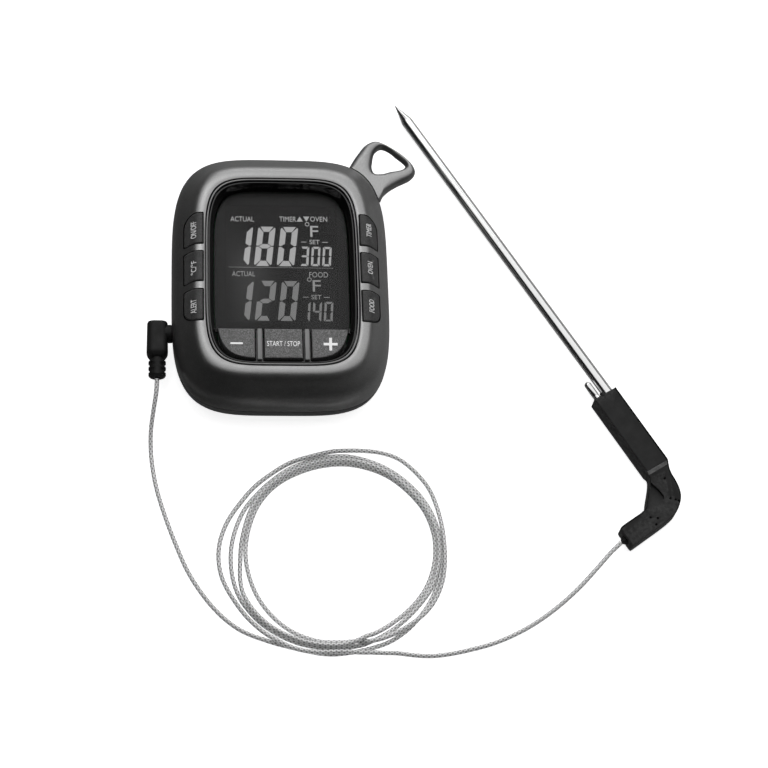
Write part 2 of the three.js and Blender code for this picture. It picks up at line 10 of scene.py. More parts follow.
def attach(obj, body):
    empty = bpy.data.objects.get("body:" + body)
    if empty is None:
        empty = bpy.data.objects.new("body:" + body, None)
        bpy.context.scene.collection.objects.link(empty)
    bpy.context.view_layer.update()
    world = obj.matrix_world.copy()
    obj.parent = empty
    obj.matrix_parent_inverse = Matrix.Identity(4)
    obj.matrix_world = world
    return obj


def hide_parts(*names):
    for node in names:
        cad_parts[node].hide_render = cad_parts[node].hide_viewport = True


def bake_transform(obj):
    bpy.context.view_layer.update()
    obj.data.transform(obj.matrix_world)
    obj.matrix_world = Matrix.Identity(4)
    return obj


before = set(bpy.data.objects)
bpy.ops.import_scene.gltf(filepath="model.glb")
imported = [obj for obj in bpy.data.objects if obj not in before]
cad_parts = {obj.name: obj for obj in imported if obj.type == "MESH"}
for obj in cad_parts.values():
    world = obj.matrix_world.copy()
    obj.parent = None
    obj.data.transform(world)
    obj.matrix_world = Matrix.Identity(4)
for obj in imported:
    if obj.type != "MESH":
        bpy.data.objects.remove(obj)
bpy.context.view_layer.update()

MM = 0.001
scene = bpy.context.scene

# ---------------------------------------------------------------- camera
camera_data = bpy.data.cameras.new("camera")
camera_data.sensor_fit = "HORIZONTAL"
camera_data.angle = math.radians(20.0)
camera_data.clip_start = 0.01
camera_data.clip_end = 20.0
camera = bpy.data.objects.new("camera", camera_data)
scene.collection.objects.link(camera)
camera.matrix_world = Matrix((
    (0.99435, -0.00702, -0.10593, -0.04744),
    (-0.03714, 0.91172, -0.40913, -0.36748),
    (0.09945, 0.41075, 0.90631, 0.73796),
    (0.0, 0.0, 0.0, 1.0),
))
scene.camera = camera

# ---------------------------------------------------------------- design sizes, in millimetres
RIM_HALF_WIDTH = 28.1
RIM_HALF_HEIGHT = 38.4
MARGIN = 12.4
MARGIN_STRETCH = 1.052
CENTRE_SHIFT = 1.25
RIM_POWER = 5.0
EDGE_POWER = 4.1
RING = 176
JACK_Y = -18.8
JACK_Z = 9.0
JACK_HOLE_RADIUS = 3.8
PLUG_X = -45.6
KEY_LIFT = 0.3          # side keys stand this far above the shell
KEY_SPARE = 0.38        # clearance round a side key in its opening
PRINT_LOW = 19.18       # printed and lit marks of the display
PRINT_HIGH = 19.26
LAID = 1.05             # height of the cable's centre where it lies on the table
FRONT_STEPS = [
    (12.4, 9.8), (12.4, 11.2), (12.3, 12.6), (12.12, 14.0), (11.8, 15.3), (11.35, 16.5), (10.75, 17.55),
    (10.1, 18.45), (9.4, 19.2), (8.65, 19.95), (7.9, 20.75), (7.2, 21.6), (6.5, 22.5), (5.8, 23.35),
    (5.05, 24.1), (4.25, 24.7), (3.4, 25.07), (2.5, 25.25), (1.6, 25.3), (0.85, 25.27), (0.45, 25.13),
    (0.36, 24.97),
]
BOSSES = [(-28.0, 37.5), (28.0, 37.5), (-28.0, -35.1), (28.0, -35.1)]


# ---------------------------------------------------------------- mesh helpers
def link(obj):
    scene.collection.objects.link(obj)
    return obj


def mesh_object(name, points, faces, angle=35.0):
    """An object from points in millimetres, smooth except across edges sharper than the angle."""
    mesh = bpy.data.meshes.new(name)
    mesh.from_pydata([(x * MM, y * MM, z * MM) for x, y, z in points], [], faces)
    mesh.update()
    obj = link(bpy.data.objects.new(name, mesh))
    tidy(obj, angle)
    return obj


def tidy(obj, angle=35.0):
    bm = bmesh.new()
    bm.from_mesh(obj.data)
    bmesh.ops.remove_doubles(bm, verts=bm.verts, dist=1e-7)
    bmesh.ops.recalc_face_normals(bm, faces=bm.faces)
    bm.to_mesh(obj.data)
    bm.free()
    shade(obj, angle)


def shade(obj, angle=35.0):
    obj.data.shade_smooth()
    obj.data.set_sharp_from_angle(angle=math.radians(angle))


def outline(half_width, half_height, centre_y, power):
    """Superellipse: a rectangle with soft sides and corners."""
    points = []
    for i in range(RING):
        a = i / RING * math.tau
        c, s = math.cos(a), math.sin(a)
        reach = (abs(c) ** power + abs(s) ** power) ** (-1 / power)
        points.append((half_width * c * reach, centre_y + half_height * s * reach))
    return points


def housing_shape(grow):
    """Half sizes, centre and power of the plan at a distance outside the ring."""
    share = min(max(grow / MARGIN, 0.0), 1.0)
    return (RIM_HALF_WIDTH + grow, RIM_HALF_HEIGHT + grow * MARGIN_STRETCH,
            CENTRE_SHIFT * share, RIM_POWER + (EDGE_POWER - RIM_POWER) * share)


def housing_outline(grow):
    return outline(*housing_shape(grow))


def steps_z(steps, grow):
    """Height of a stepped profile at a distance outside the ring."""
    if grow >= steps[0][0]:
        return steps[0][1]
    for (g0, z0), (g1, z1) in zip(steps, steps[1:]):
        if g1 <= grow <= g0:
            return z0 + (z1 - z0) * (g0 - grow) / max(g0 - g1, 1e-9)
    return steps[-1][1]


def grow_at(x, y):
    """How far outside the ring a point of the plan lies."""
    low, high = -20.0, 16.0
    for _ in range(26):
        mid = (low + high) / 2
        half_width, half_height, centre, power = housing_shape(mid)
        inside = abs(x / half_width) ** power + abs((y - centre) / half_height) ** power < 1
        if inside:
            high = mid
        else:
            low = mid
    return (low + high) / 2


def surface_z(x, y):
    return steps_z(FRONT_STEPS, grow_at(x, y))


def ring_loft(rings, closed=False, name="loft", angle=35.0):
    """Skin through rings of equal point counts; open skins get flat ends."""
    count = len(rings[0])
    points = [p for ring in rings for p in ring]
    faces = []
    last = len(rings) if closed else len(rings) - 1
    for k in range(last):
        a0 = k * count
        b0 = (k + 1) % len(rings) * count
        for i in range(count):
            j = (i + 1) % count
            faces.append((a0 + i, a0 + j, b0 + j, b0 + i))
    if not closed:
        faces.append(tuple(range(count))[::-1])
        end = (len(rings) - 1) * count
        faces.append(tuple(range(end, end + count)))
    return mesh_object(name, points, faces, angle)


def housing_loft(steps, name="loft", closed=False, angle=35.0):
    """Skin through (distance outside the ring, height) steps of the housing's plan."""
    return ring_loft([[(x, y, z) for x, y in housing_outline(g)] for g, z in steps], closed, name, angle)


def prism(points, z0, z1, name="prism"):
    n = len(points)
    verts = [(x, y, z0) for x, y in points] + [(x, y, z1) for x, y in points]
    faces = [tuple(range(n))[::-1], tuple(range(n, 2 * n))]
    faces += [(i, (i + 1) % n, n + (i + 1) % n, n + i) for i in range(n)]
    return mesh_object(name, verts, faces)


def block(x0, x1, y0, y1, z0, z1):
    return prism([(x0, y0), (x1, y0), (x1, y1), (x0, y1)], z0, z1)


def rounded_rect(x0, x1, y0, y1, radius, steps=8):
    points = []
    for cx, cy, start in ((x1 - radius, y1 - radius, 0), (x0 + radius, y1 - radius, 90),
                          (x0 + radius, y0 + radius, 180), (x1 - radius, y0 + radius, 270)):
        for i in range(steps + 1):
            a = math.radians(start + 90 * i / steps)
            points.append((cx + radius * math.cos(a), cy + radius * math.sin(a)))
    return points


def lathe(profile, name="turned", sides=64, angle=30.0):
    """Turned body standing on +Z from an open (radius, height) profile that starts and ends on the axis."""
    points, faces = [], []
    rings = []
    for r, z in profile:
        if r < 1e-6:
            rings.append([len(points)])
            points.append((0, 0, z))
        else:
            rings.append(list(range(len(points), len(points) + sides)))
            for i in range(sides):
                a = i / sides * math.tau
                points.append((r * math.cos(a), r * math.sin(a), z))
    for a, b in zip(rings, rings[1:]):
        for i in range(sides):
            j = (i + 1) % sides
            if len(a) == 1 and len(b) == 1:
                continue
            if len(a) == 1:
                faces.append((a[0], b[j], b[i]))
            elif len(b) == 1:
                faces.append((a[i], a[j], b[0]))
            else:
                faces.append((a[i], a[j], b[j], b[i]))
    return mesh_object(name, points, faces, angle)


def place(obj, matrix):
    """Moves the mesh itself, so that the object stays at the origin."""
    obj.data.transform(matrix)
    obj.data.update()
    return obj


def shifted(x, y, z):
    return Matrix.Translation((x * MM, y * MM, z * MM))


def spin(degrees, axis):
    return Matrix.Rotation(math.radians(degrees), 4, axis)


ALONG_X = Matrix.Rotation(math.pi / 2, 4, "Y")
ALONG_MINUS_Y = Matrix.Rotation(math.pi / 2, 4, "X")


def rod(radius, start, end, matrix, sides=32):
    """Plain cylinder between two heights, laid where the matrix says."""
    return place(lathe([(0, start), (radius, start), (radius, end), (0, end)], "rod", sides), matrix)


def bar(x, y, z0, z1, radius, sides=32):
    return rod(radius, z0, z1, shifted(x, y, 0), sides)


def cylinder_x(x0, x1, y, z, radius):
    return rod(radius, x0, x1, shifted(0, y, z) @ ALONG_X, 40)


def apply_modifiers(obj):
    graph = bpy.context.evaluated_depsgraph_get()
    graph.update()
    done = bpy.data.meshes.new_from_object(obj.evaluated_get(graph))
    old = obj.data
    obj.modifiers.clear()
    obj.data = done
    bpy.data.meshes.remove(old)


def drop(obj):
    mesh = obj.data
    bpy.data.objects.remove(obj)
    bpy.data.meshes.remove(mesh)


def boolean(obj, others, kind="DIFFERENCE", angle=35.0, solver="MANIFOLD"):
    for other in others:
        mod = obj.modifiers.new("cut", "BOOLEAN")
        mod.operation = kind
        mod.solver = solver
        mod.object = other
    apply_modifiers(obj)
    for other in others:
        drop(other)
    shade(obj, angle)
    return obj


def soften(obj, width, segments=2, angle=35.0, limit=40.0):
    """Small round along the sharp edges."""
    mod = obj.modifiers.new("round", "BEVEL")
    mod.width = width * MM
    mod.segments = segments
    mod.limit_method = "ANGLE"
    mod.angle_limit = math.radians(limit)
    mod.use_clamp_overlap = True
    mod.miter_outer = "MITER_ARC"
    apply_modifiers(obj)
    shade(obj, angle)
    return obj


def catmull(points, per=8, closed=False):
    """Smooth line through points of any dimension."""
    pts = [np.array(p, float) for p in points]
    n = len(pts)
    out = []
    spans = n if closed else n - 1
    for i in range(spans):
        p1 = pts[i]
        p2 = pts[(i + 1) % n]
        p0 = pts[(i - 1) % n] if closed or i > 0 else 2 * p1 - p2
        p3 = pts[(i + 2) % n] if closed or i < n - 2 else 2 * p2 - p1
        d1 = max(np.linalg.norm(p1 - p0), 1e-6) ** 0.5
        d2 = max(np.linalg.norm(p2 - p1), 1e-6) ** 0.5
        d3 = max(np.linalg.norm(p3 - p2), 1e-6) ** 0.5
        m1 = (p1 - p0) / d1 - (p2 - p0) / (d1 + d2) + (p2 - p1) / d2
        m2 = (p2 - p1) / d2 - (p3 - p1) / (d2 + d3) + (p3 - p2) / d3
        m1 *= d2
        m2 *= d2
        for k in range(per):
            t = k / per
            h1 = 2 * t ** 3 - 3 * t ** 2 + 1
            h2 = t ** 3 - 2 * t ** 2 + t
            h3 = -2 * t ** 3 + 3 * t ** 2
            h4 = t ** 3 - t ** 2
            out.append(h1 * p1 + h2 * m1 + h3 * p2 + h4 * m2)
    if not closed:
        out.append(pts[-1])
    return out


def resample(line, step):
    line = np.array(line, float)
    seg = np.linalg.norm(np.diff(line, axis=0), axis=1)
    along = np.concatenate([[0], np.cumsum(seg)])
    count = max(int(round(along[-1] / step)), 2)
    wanted = np.linspace(0, along[-1], count + 1)
    return np.stack([np.interp(wanted, along, line[:, k]) for k in range(line.shape[1])], axis=1)


# ---------------------------------------------------------------- materials
def new_material(name):
    material = bpy.data.materials.new(name)
    material.use_nodes = True
    tree = material.node_tree
    shader = tree.nodes["Principled BSDF"]
    return material, tree, shader


def wire(tree, value, socket):
    """Joins an output to a socket, or sets the socket to a plain value."""
    if isinstance(value, bpy.types.NodeSocket):
        tree.links.new(value, socket)
    else:
        socket.default_value = value


def fill(tree, owner, values):
    for socket, value in values.items():
        wire(tree, value, owner.inputs[socket])


def calculate(tree, operation, *values):
    made = tree.nodes.new("ShaderNodeMath")
    made.operation = operation
    for value, socket in zip(values, made.inputs):
        wire(tree, value, socket)
    return made.outputs[0]


def coords(tree):
    return tree.nodes.new("ShaderNodeTexCoord").outputs["Object"]


def noise(tree, place_from, scale, detail=3.0, rough=0.5):
    made = tree.nodes.new("ShaderNodeTexNoise")
    fill(tree, made, {"Vector": place_from, "Scale": scale, "Detail": detail, "Roughness": rough})
    return made.outputs["Fac"]


def remap(tree, value, low, high, to_low, to_high):
    made = tree.nodes.new("ShaderNodeMapRange")
    for given, socket in zip((value, low, high, to_low, to_high), made.inputs):
        wire(tree, given, socket)
    return made.outputs["Result"]


def ramp(tree, value, stops):
    made = tree.nodes.new("ShaderNodeValToRGB")
    elements = made.color_ramp.elements
    while len(elements) < len(stops):
        elements.new(0.5)
    for element, (at, colour) in zip(elements, stops):
        element.position = at
        element.color = (*colour, 1.0)
    tree.links.new(value, made.inputs["Fac"])
    return made.outputs["Color"]


def bump(tree, shader, height, distance, strength=1.0):
    made = tree.nodes.new("ShaderNodeBump")
    fill(tree, made, {"Strength": strength, "Distance": distance, "Height": height})
    tree.links.new(made.outputs["Normal"], shader.inputs["Normal"])


def mix_colour(tree, factor, first, second):
    """Blend from a colour output to a plain colour."""
    made = tree.nodes.new("ShaderNodeMix")
    made.data_type = "RGBA"
    for value, slot in ((factor, 0), (first, 6), ((*second, 1.0), 7)):
        wire(tree, value, made.inputs[slot])
    return made.outputs[2]


def grey(v):
    return (v, v, v)


def surface(name, colour, vary=0.12, rough=(0.4, 0.5), metal=0.0, grain=2500.0, grain_depth=0.00002,
            grain_strength=0.3, speckle=0.0, speckle_scale=2600.0, wear=None, coat=0.0, coat_rough=0.1,
            specular=0.5, cloud=90.0):
    """Moulded plastic or painted surface with tone clouds, fine grain, optional speckle and edge wear."""
    material, tree, shader = new_material(name)
    at = coords(tree)
    clouds = noise(tree, at, cloud, 4.0, 0.6)
    dark = tuple(c * (1 - vary) for c in colour)
    light = tuple(min(c * (1 + vary), 1.0) for c in colour)
    tone = ramp(tree, clouds, [(0.3, dark), (0.7, light)])
    if speckle > 0:
        grains = noise(tree, at, speckle_scale, 1.0, 0.4)
        lift = ramp(tree, grains, [(0.42, (0.0, 0.0, 0.0)), (0.68, (1.0, 1.0, 1.0))])
        tone = mix_colour(tree, lift, tone, tuple(min(c * (1 + speckle), 1.0) for c in colour))
    if wear is not None:
        geometry = tree.nodes.new("ShaderNodeNewGeometry")
        edges = remap(tree, geometry.outputs["Pointiness"], 0.53, 0.6, 0.0, 1.0)
        patches = remap(tree, noise(tree, at, 900.0, 3.0, 0.6), 0.35, 0.7, 0.0, 0.8)
        tone = mix_colour(tree, calculate(tree, "MULTIPLY", edges, patches), tone, wear)
    spread = noise(tree, at, 260.0, 4.0, 0.65)
    fill(tree, shader, {
        "Base Color": tone, "Roughness": remap(tree, spread, 0.3, 0.7, *rough), "Metallic": metal,
        "Specular IOR Level": specular, "Coat Weight": coat, "Coat Roughness": coat_rough,
    })
    bump(tree, shader, noise(tree, at, grain, 2.0, 0.5), grain_depth, grain_strength)
    return material


def steel(name, colour, rough, axis=None, lines=600.0, depth=0.000004, painted_edge_reflection=0.0):
    """Polished or lightly brushed steel; the lines run along the given plan direction, in degrees."""
    material, tree, shader = new_material(name)
    at = coords(tree)
    at_lines = at
    if axis is not None:
        turn = tree.nodes.new("ShaderNodeMapping")
        along = (0.0, 0.0, math.radians(-axis))
        fill(tree, turn, {"Rotation": along, "Scale": (1.0, 0.06, 0.06), "Vector": at})
        at_lines = turn.outputs["Vector"]
    fine = noise(tree, at_lines, lines, 5.0, 0.7)
    smear = noise(tree, at, 110.0, 4.0, 0.6)
    fill(tree, shader, {
        "Base Color": ramp(tree, smear, [(0.3, grey(colour * 0.93)), (0.7, grey(colour))]),
        "Roughness": remap(tree, fine, 0.3, 0.7, *rough), "Metallic": 1.0,
    })
    # Towards the grazing edges the steel turns partly non-metal, so its pale base colour shows there: a
    # painted reflection of the white table.
    if painted_edge_reflection > 0:
        facing = tree.nodes.new("ShaderNodeLayerWeight").outputs["Facing"]
        wire(tree, remap(tree, facing, 0.25, 0.6, 1.0, 1.0 - painted_edge_reflection), shader.inputs["Metallic"])
    bump(tree, shader, fine, depth, 0.5)
    return material


def glowing(name, light, strength, base):
    """Lit display element, or print given a painted glow, with a little unevenness."""
    material, tree, shader = new_material(name)
    at = coords(tree)
    patch = noise(tree, at, 700.0, 2.0, 0.5)
    fill(tree, shader, {
        "Emission Color": ramp(tree, patch, [(0.25, grey(light * 0.93)), (0.75, grey(light))]),
        "Emission Strength": strength,
        "Base Color": ramp(tree, patch, [(0.25, grey(light * base * 0.95)), (0.75, grey(light * base))]),
        "Roughness": remap(tree, noise(tree, at, 1500.0), 0.3, 0.7, 0.4, 0.6),
    })
    bump(tree, shader, noise(tree, at, 3000.0), 0.00001, 0.2)
    return material


MAT = {}
MAT["shell"] = surface("satin_charcoal", grey(0.3), 0.06, (0.36, 0.42), 0.98, 3600.0, 0.00001, 0.16,
                       speckle=0.25, speckle_scale=4200.0, wear=grey(0.42), specular=0.4)
MAT["rear"] = surface("rear_charcoal", grey(0.03), 0.1, (0.42, 0.52), 0.0, 2400.0, 0.00003, 0.35,
                      wear=grey(0.12))
MAT["gloss"] = surface("gloss_black", grey(0.004), 0.2, (0.06, 0.1), 0.0, 500.0, 0.00001, 0.05,
                       coat=0.4, coat_rough=0.04)
MAT["key"] = surface("speckled_key", grey(0.12), 0.12, (0.5, 0.62), 0.0, 3000.0, 0.00004, 0.5,
                     speckle=1.5, speckle_scale=3300.0, wear=grey(0.25))
MAT["side_key"] = surface("speckled_side_key", grey(0.032), 0.12, (0.46, 0.58), 0.0, 3000.0, 0.00004, 0.45,
                          speckle=1.2, speckle_scale=3300.0, wear=grey(0.16))
MAT["bar"] = surface("light_bar", grey(0.24), 0.08, (0.35, 0.45), 0.2, 3000.0, 0.00002, 0.3,
                     wear=grey(0.4))
MAT["rubber"] = surface("matte_black_rubber", grey(0.009), 0.25, (0.5, 0.66), 0.0, 1900.0, 0.00005, 0.45,
                        wear=grey(0.035), specular=0.3)
MAT["grip"] = surface("mottled_grip", grey(0.011), 0.3, (0.5, 0.62), 0.0, 1700.0, 0.00003, 0.35,
                      wear=grey(0.05), specular=0.3, cloud=320.0)
# A lighter material for the upper face of the grip's step slope: a painted highlight.
MAT["grip_step"] = surface("step_painted_highlight", grey(0.2), 0.35, (0.45, 0.6), 0.0, 1700.0, 0.00003, 0.35,
                           specular=0.3, cloud=500.0)
MAT["grip_web"] = surface("grip_recess", grey(0.02), 0.3, (0.5, 0.62), 0.0, 1700.0, 0.00003, 0.35,
                          specular=0.3, cloud=420.0)
MAT["chrome"] = steel("bright_trim", 0.2, (0.3, 0.4), None, 900.0)
# The needle's edges carry that painted reflection.
MAT["needle"] = steel("polished_steel", 0.8, (0.12, 0.17), -59.5, 2600.0, 0.0000003, 0.5)
MAT["screw"] = steel("zinc_screw", 0.6, (0.25, 0.4), None, 1800.0, 0.00001)
MAT["contact"] = steel("nickel_contact", 0.65, (0.22, 0.35), None, 1500.0, 0.00001)
MAT["brass"] = surface("gold_plated", (0.72, 0.5, 0.2), 0.1, (0.15, 0.28), 1.0, 1500.0, 0.00001, 0.2)
MAT["pcb"] = surface("green_board", (0.02, 0.12, 0.05), 0.2, (0.3, 0.45), 0.0, 1800.0, 0.00003, 0.4,
                     speckle=0.8, speckle_scale=1500.0)
MAT["silicone"] = surface("grey_silicone", grey(0.3), 0.08, (0.6, 0.75), 0.0, 1800.0, 0.00003, 0.4)
MAT["chip"] = surface("black_resin", grey(0.008), 0.2, (0.25, 0.45), 0.0, 900.0, 0.00003, 0.4)
MAT["white"] = surface("white_diffuser", grey(0.8), 0.04, (0.5, 0.6), 0.0, 1800.0, 0.00002, 0.3)
MAT["zebra"] = surface("rubber_connector", (0.6, 0.32, 0.3), 0.15, (0.6, 0.7), 0.0, 1500.0, 0.00003, 0.4)
MAT["cell"] = surface("battery_sleeve", (0.14, 0.22, 0.07), 0.1, (0.25, 0.35), 0.3, 900.0, 0.00002, 0.3)
MAT["sensor"] = surface("sensor_bead", (0.03, 0.015, 0.008), 0.2, (0.3, 0.5), 0.0, 1500.0, 0.00003, 0.4)
# Key print is given a painted glow: it gives off light of its own though it is ink.
MAT["print_painted_glow"] = glowing("white_print_painted_glow", 1.0, 0.35, 0.85)
# Side key print also has a painted glow.
MAT["side_print_painted_glow"] = glowing("grey_print_painted_glow", 0.78, 0.2, 0.85)
MAT["bright"] = glowing("lit_segment_bright", 1.0, 0.98, 0.4)
MAT["dim"] = glowing("lit_segment_dim", 1.0, 0.42, 0.3)
MAT["label"] = glowing("lit_label", 1.0, 1.0, 0.35)
MAT["faint"] = glowing("lit_faint", 1.0, 0.62, 0.3)


def paint(obj, material):
    obj.data.materials.clear()
    obj.data.materials.append(material)


def finish_piece(obj, material, body, *nodes):
    """Gives a piece its material and the body it moves with, and hides the CAD nodes it stands for."""
    paint(obj, MAT[material])
    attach(obj, body)
    if nodes:
        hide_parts(*nodes)


# ---------------------------------------------------------------- cable
CABLE_RADIUS = 1.0
COIL_CENTRE = (19.4, -101.0)
# Ends of the route, from the coil to the grip and from the plug to the coil; a height left out is LAID.
PROBE_RUN = [
    (39.0, -139.2), (44.0, -139.9), (51.1, -140.4), (58.3, -139.7),
    (65.6, -138.2), (74.7, -135.7, 1.1), (84.0, -131.75, 1.35), (92.05, -127.1, 1.8),
    (100.1, -121.2, 2.4), (107.15, -114.95, 3.1), (113.65, -108.2, 3.7), (118.9, -102.6, 4.25),
    (122.6, -99.2, 4.5),
]
PLUG_RUN = [
    (-45.6, -36.9, 9.0), (-45.9, -42.0, 8.0), (-46.8, -48.0, 5.9), (-47.7, -55.0, 3.3), (-47.7, -62.0, 1.5),
    (-47.0, -69.0, 1.06), (-45.4, -77.5), (-42.6, -87.1), (-38.5, -98.6),
    (-34.4, -108.4), (-30.2, -115.6), (-25.2, -122.3), (-19.6, -127.8),
    (-13.1, -131.9),
]
# Turns of the coil: (angle round the centre from the right-hand side, radius, height if raised).
TURN_1 = [
    (-104, 39.0), (-90, 38.4), (-60, 38.4), (-30, 38.0), (0, 38.0),
    (30, 37.6), (55, 37.3), (75, 37.2), (90, 37.0), (105, 36.2),
    (120, 36.0), (150, 36.6), (165, 37.4), (180, 38.3), (195, 39.1),
    (208, 39.4), (225, 38.8), (245, 37.6), (262, 36.6),
]
TURN_2 = [
    (-90, 36.3), (-75, 35.8), (-60, 35.1, 1.4), (-45, 34.6, 2.8), (-38, 34.9, 2.8),
    (-20, 36.4, 2.6), (0, 36.9, 2.7), (15, 36.9, 2.8), (30, 36.3, 2.8), (55, 35.9, 2.7), (75, 35.6, 2.4),
    (90, 35.0, 2.4), (105, 34.9, 2.7), (130, 34.9, 2.7), (150, 34.8, 2.5), (175, 34.5, 2.5),
    (185, 35.0, 2.3), (195, 36.4, 1.6), (205, 37.6, 2.2), (215, 37.7, 2.7), (230, 37.2, 2.7),
    (250, 36.0, 2.8),
]
TURN_3 = [
    (-90, 35.2, 2.8), (-80, 34.4, 2.9), (-70, 33.7, 1.8), (-60, 33.3), (-45, 33.5),
    (-30, 34.2), (-15, 34.9), (0, 35.6), (15, 35.9), (30, 35.6),
    (55, 34.9), (75, 34.2), (90, 33.7), (110, 33.2), (130, 33.5),
    (150, 33.4), (180, 33.2), (210, 33.7), (235, 34.5), (255, 34.6),
]
TURN_4 = [
    (-90, 34.3), (-80, 34.8, 1.3), (-70, 35.6, 2.8), (-60, 36.3, 3.0), (-50, 37.2, 3.1),
    (-40, 38.2, 3.1), (-30, 39.0, 2.9), (-18, 39.2, 2.8), (-8, 38.9, 2.8), (3, 38.8, 2.8),
    (13, 39.3, 2.5), (24, 40.5, 1.5), (37, 42.1), (55, 43.0), (65, 42.1), (78, 40.0),
    (90, 38.4, 1.4), (103, 37.5, 2.1), (118, 37.9, 1.8), (138, 38.5, 1.2), (152, 39.4),
    (165, 41.2), (178, 42.6), (190, 42.9), (200, 42.2), (215, 41.1),
    (230, 40.6, 1.6), (245, 39.7, 2.9), (258, 38.4, 3.1),
]
LEAVING = [(-90, 37.5, 2.9), (-80, 38.2, 3.1), (-73, 39.4, 2.6), (-68, 41.2, 1.4)]


def with_height(points):
    return [p if len(p) == 3 else (*p, LAID) for p in points]


def turn_points(turn):
    """Plan of one turn; raised points move a little, because the photograph was taken from a slant."""
    out = []
    for angle, radius, z in with_height(turn):
        a = math.radians(angle)
        lean = z - LAID
        out.append((COIL_CENTRE[0] + radius * math.cos(a) - 0.1 * lean,
                    COIL_CENTRE[1] + radius * math.sin(a) - 0.35 * lean, z))
    return out


SETTLE_ROUNDS = 260
SETTLE_FALL = 0.005       # how far every point sinks in a round
SETTLE_PUSH = 1.3         # how hard touching turns part
SETTLE_PULL = 0.08        # how hard the plan is held to the drawn route
NEIGHBOURS = 4            # points along the cable that may be closer than a diameter
BATCH = 400


def settle(line, held):
    """Lays the cable down: its turns rest on the table and on each other without passing through."""
    pts = line.copy()
    count = len(pts)
    near = 2.04 * CABLE_RADIUS
    index = np.arange(count)
    free = (~held).astype(float)[:, None]
    for _ in range(SETTLE_ROUNDS):
        pts[:, 2] -= SETTLE_FALL * free[:, 0]
        push = np.zeros_like(pts)
        for start in range(0, count, BATCH):
            part = pts[start:start + BATCH]
            gap = part[:, None, :] - pts[None, :, :]
            far = np.linalg.norm(gap, axis=2)
            apart = np.abs(index[start:start + BATCH, None] - index[None, :]) > NEIGHBOURS
            rows, cols = np.nonzero((far < near) & apart)
            if len(rows) == 0:
                continue
            lengths = np.maximum(far[rows, cols], 1e-6)[:, None]
            shift = gap[rows, cols] / lengths * (near - lengths) * 0.5
            shares = np.bincount(rows, minlength=len(part))[:, None]
            total = np.zeros_like(part)
            np.add.at(total, rows, shift)
            push[start:start + BATCH] += total / np.maximum(shares, 1)
        pts += push * free * SETTLE_PUSH
        smooth = np.zeros_like(pts)
        smooth[1:-1] = (pts[:-2] + pts[2:]) / 2 - pts[1:-1]
        wide = np.zeros_like(pts)
        wide[3:-3] = (pts[:-6] + pts[6:]) / 2 - pts[3:-3]
        bend = wide - np.roll(wide, 1, axis=0) * 0.5 - np.roll(wide, -1, axis=0) * 0.5
        pts += smooth * np.array([0.0, 0.0, 0.45]) * free + bend * 0.1 * free
        pts[:, :2] += (line[:, :2] - pts[:, :2]) * SETTLE_PULL * free
        pts[:, 2] = np.where(held, pts[:, 2], np.maximum(pts[:, 2], 1.04 * CABLE_RADIUS))
    return pts


def cable_line():
    """Settled centreline from the grip to the plug; both end stretches stay where they are drawn."""
    knots = with_height(PLUG_RUN)
    for turn in (TURN_1, TURN_2, TURN_3, TURN_4, LEAVING):
        knots += turn_points(turn)
    knots += with_height(PROBE_RUN)
    line = resample(catmull(knots[::-1], 10), 1.2)
    seg = np.concatenate([[0], np.cumsum(np.linalg.norm(np.diff(line, axis=0), axis=1))])
    return settle(line, (seg < 78.0) | (seg > seg[-1] - 60.0))


def tube_frames(line):
    """Two directions across the line at every point, carried along it without twist."""
    tangents = np.gradient(line, axis=0)
    tangents /= np.linalg.norm(tangents, axis=1)[:, None]
    normals = np.zeros_like(line)
    first = np.cross(tangents[0], (0, 0, 1.0))
    normals[0] = first / np.linalg.norm(first)
    for i in range(1, len(line)):
        n = normals[i - 1] - tangents[i] * np.dot(normals[i - 1], tangents[i])
        normals[i] = n / np.linalg.norm(n)
    return normals, np.cross(tangents, normals)


cable_centre = cable_line()
CABLE_SIDES = 18
CABLE_STEP = 0.36
BRAID_STRANDS = 4
BRAID_PITCH = 1.9
DRAWN_SHARE = 0.8        # drawn radius of the cable, as a share of its nominal radius
WIRE_RELIEF = 0.05
smooth_line = resample(catmull(cable_centre[::2].tolist() + [cable_centre[-1].tolist()], 6), CABLE_STEP)
cable_n, cable_b = tube_frames(smooth_line)
cable_points, cable_faces, cable_marks = [], [], []
for i, centre in enumerate(smooth_line):
    along = i * CABLE_STEP / BRAID_PITCH * math.tau
    for k in range(CABLE_SIDES):
        theta = k / CABLE_SIDES * math.tau
        crest = max(math.cos(BRAID_STRANDS * theta + along), math.cos(BRAID_STRANDS * theta - along))
        radius = CABLE_RADIUS * (DRAWN_SHARE + WIRE_RELIEF * crest)
        point = centre + (cable_n[i] * math.cos(theta) + cable_b[i] * math.sin(theta)) * radius
        cable_points.append(tuple(point))
for i in range(len(smooth_line) - 1):
    for k in range(CABLE_SIDES):
        a = i * CABLE_SIDES
        b = a + CABLE_SIDES
        cable_faces.append((a + k, a + (k + 1) % CABLE_SIDES, b + (k + 1) % CABLE_SIDES, b + k))
        s0, s1 = i * CABLE_STEP * MM, (i + 1) * CABLE_STEP * MM
        t0, t1 = k / CABLE_SIDES * math.tau, (k + 1) / CABLE_SIDES * math.tau
        cable_marks += [s0, t0, 0.0, s0, t1, 0.0, s1, t1, 0.0, s1, t0, 0.0]
end = (len(smooth_line) - 1) * CABLE_SIDES
cable_faces.append(tuple(range(CABLE_SIDES))[::-1])
cable_faces.append(tuple(range(end, end + CABLE_SIDES)))
cable_marks += [0.0, 0.0, 0.0] * (2 * CABLE_SIDES)
cable_mesh = bpy.data.meshes.new("braided_cable")
cable_mesh.from_pydata([(x * MM, y * MM, z * MM) for x, y, z in cable_points], [], cable_faces)
cable_mesh.polygons.foreach_set("use_smooth", [True] * len(cable_faces))
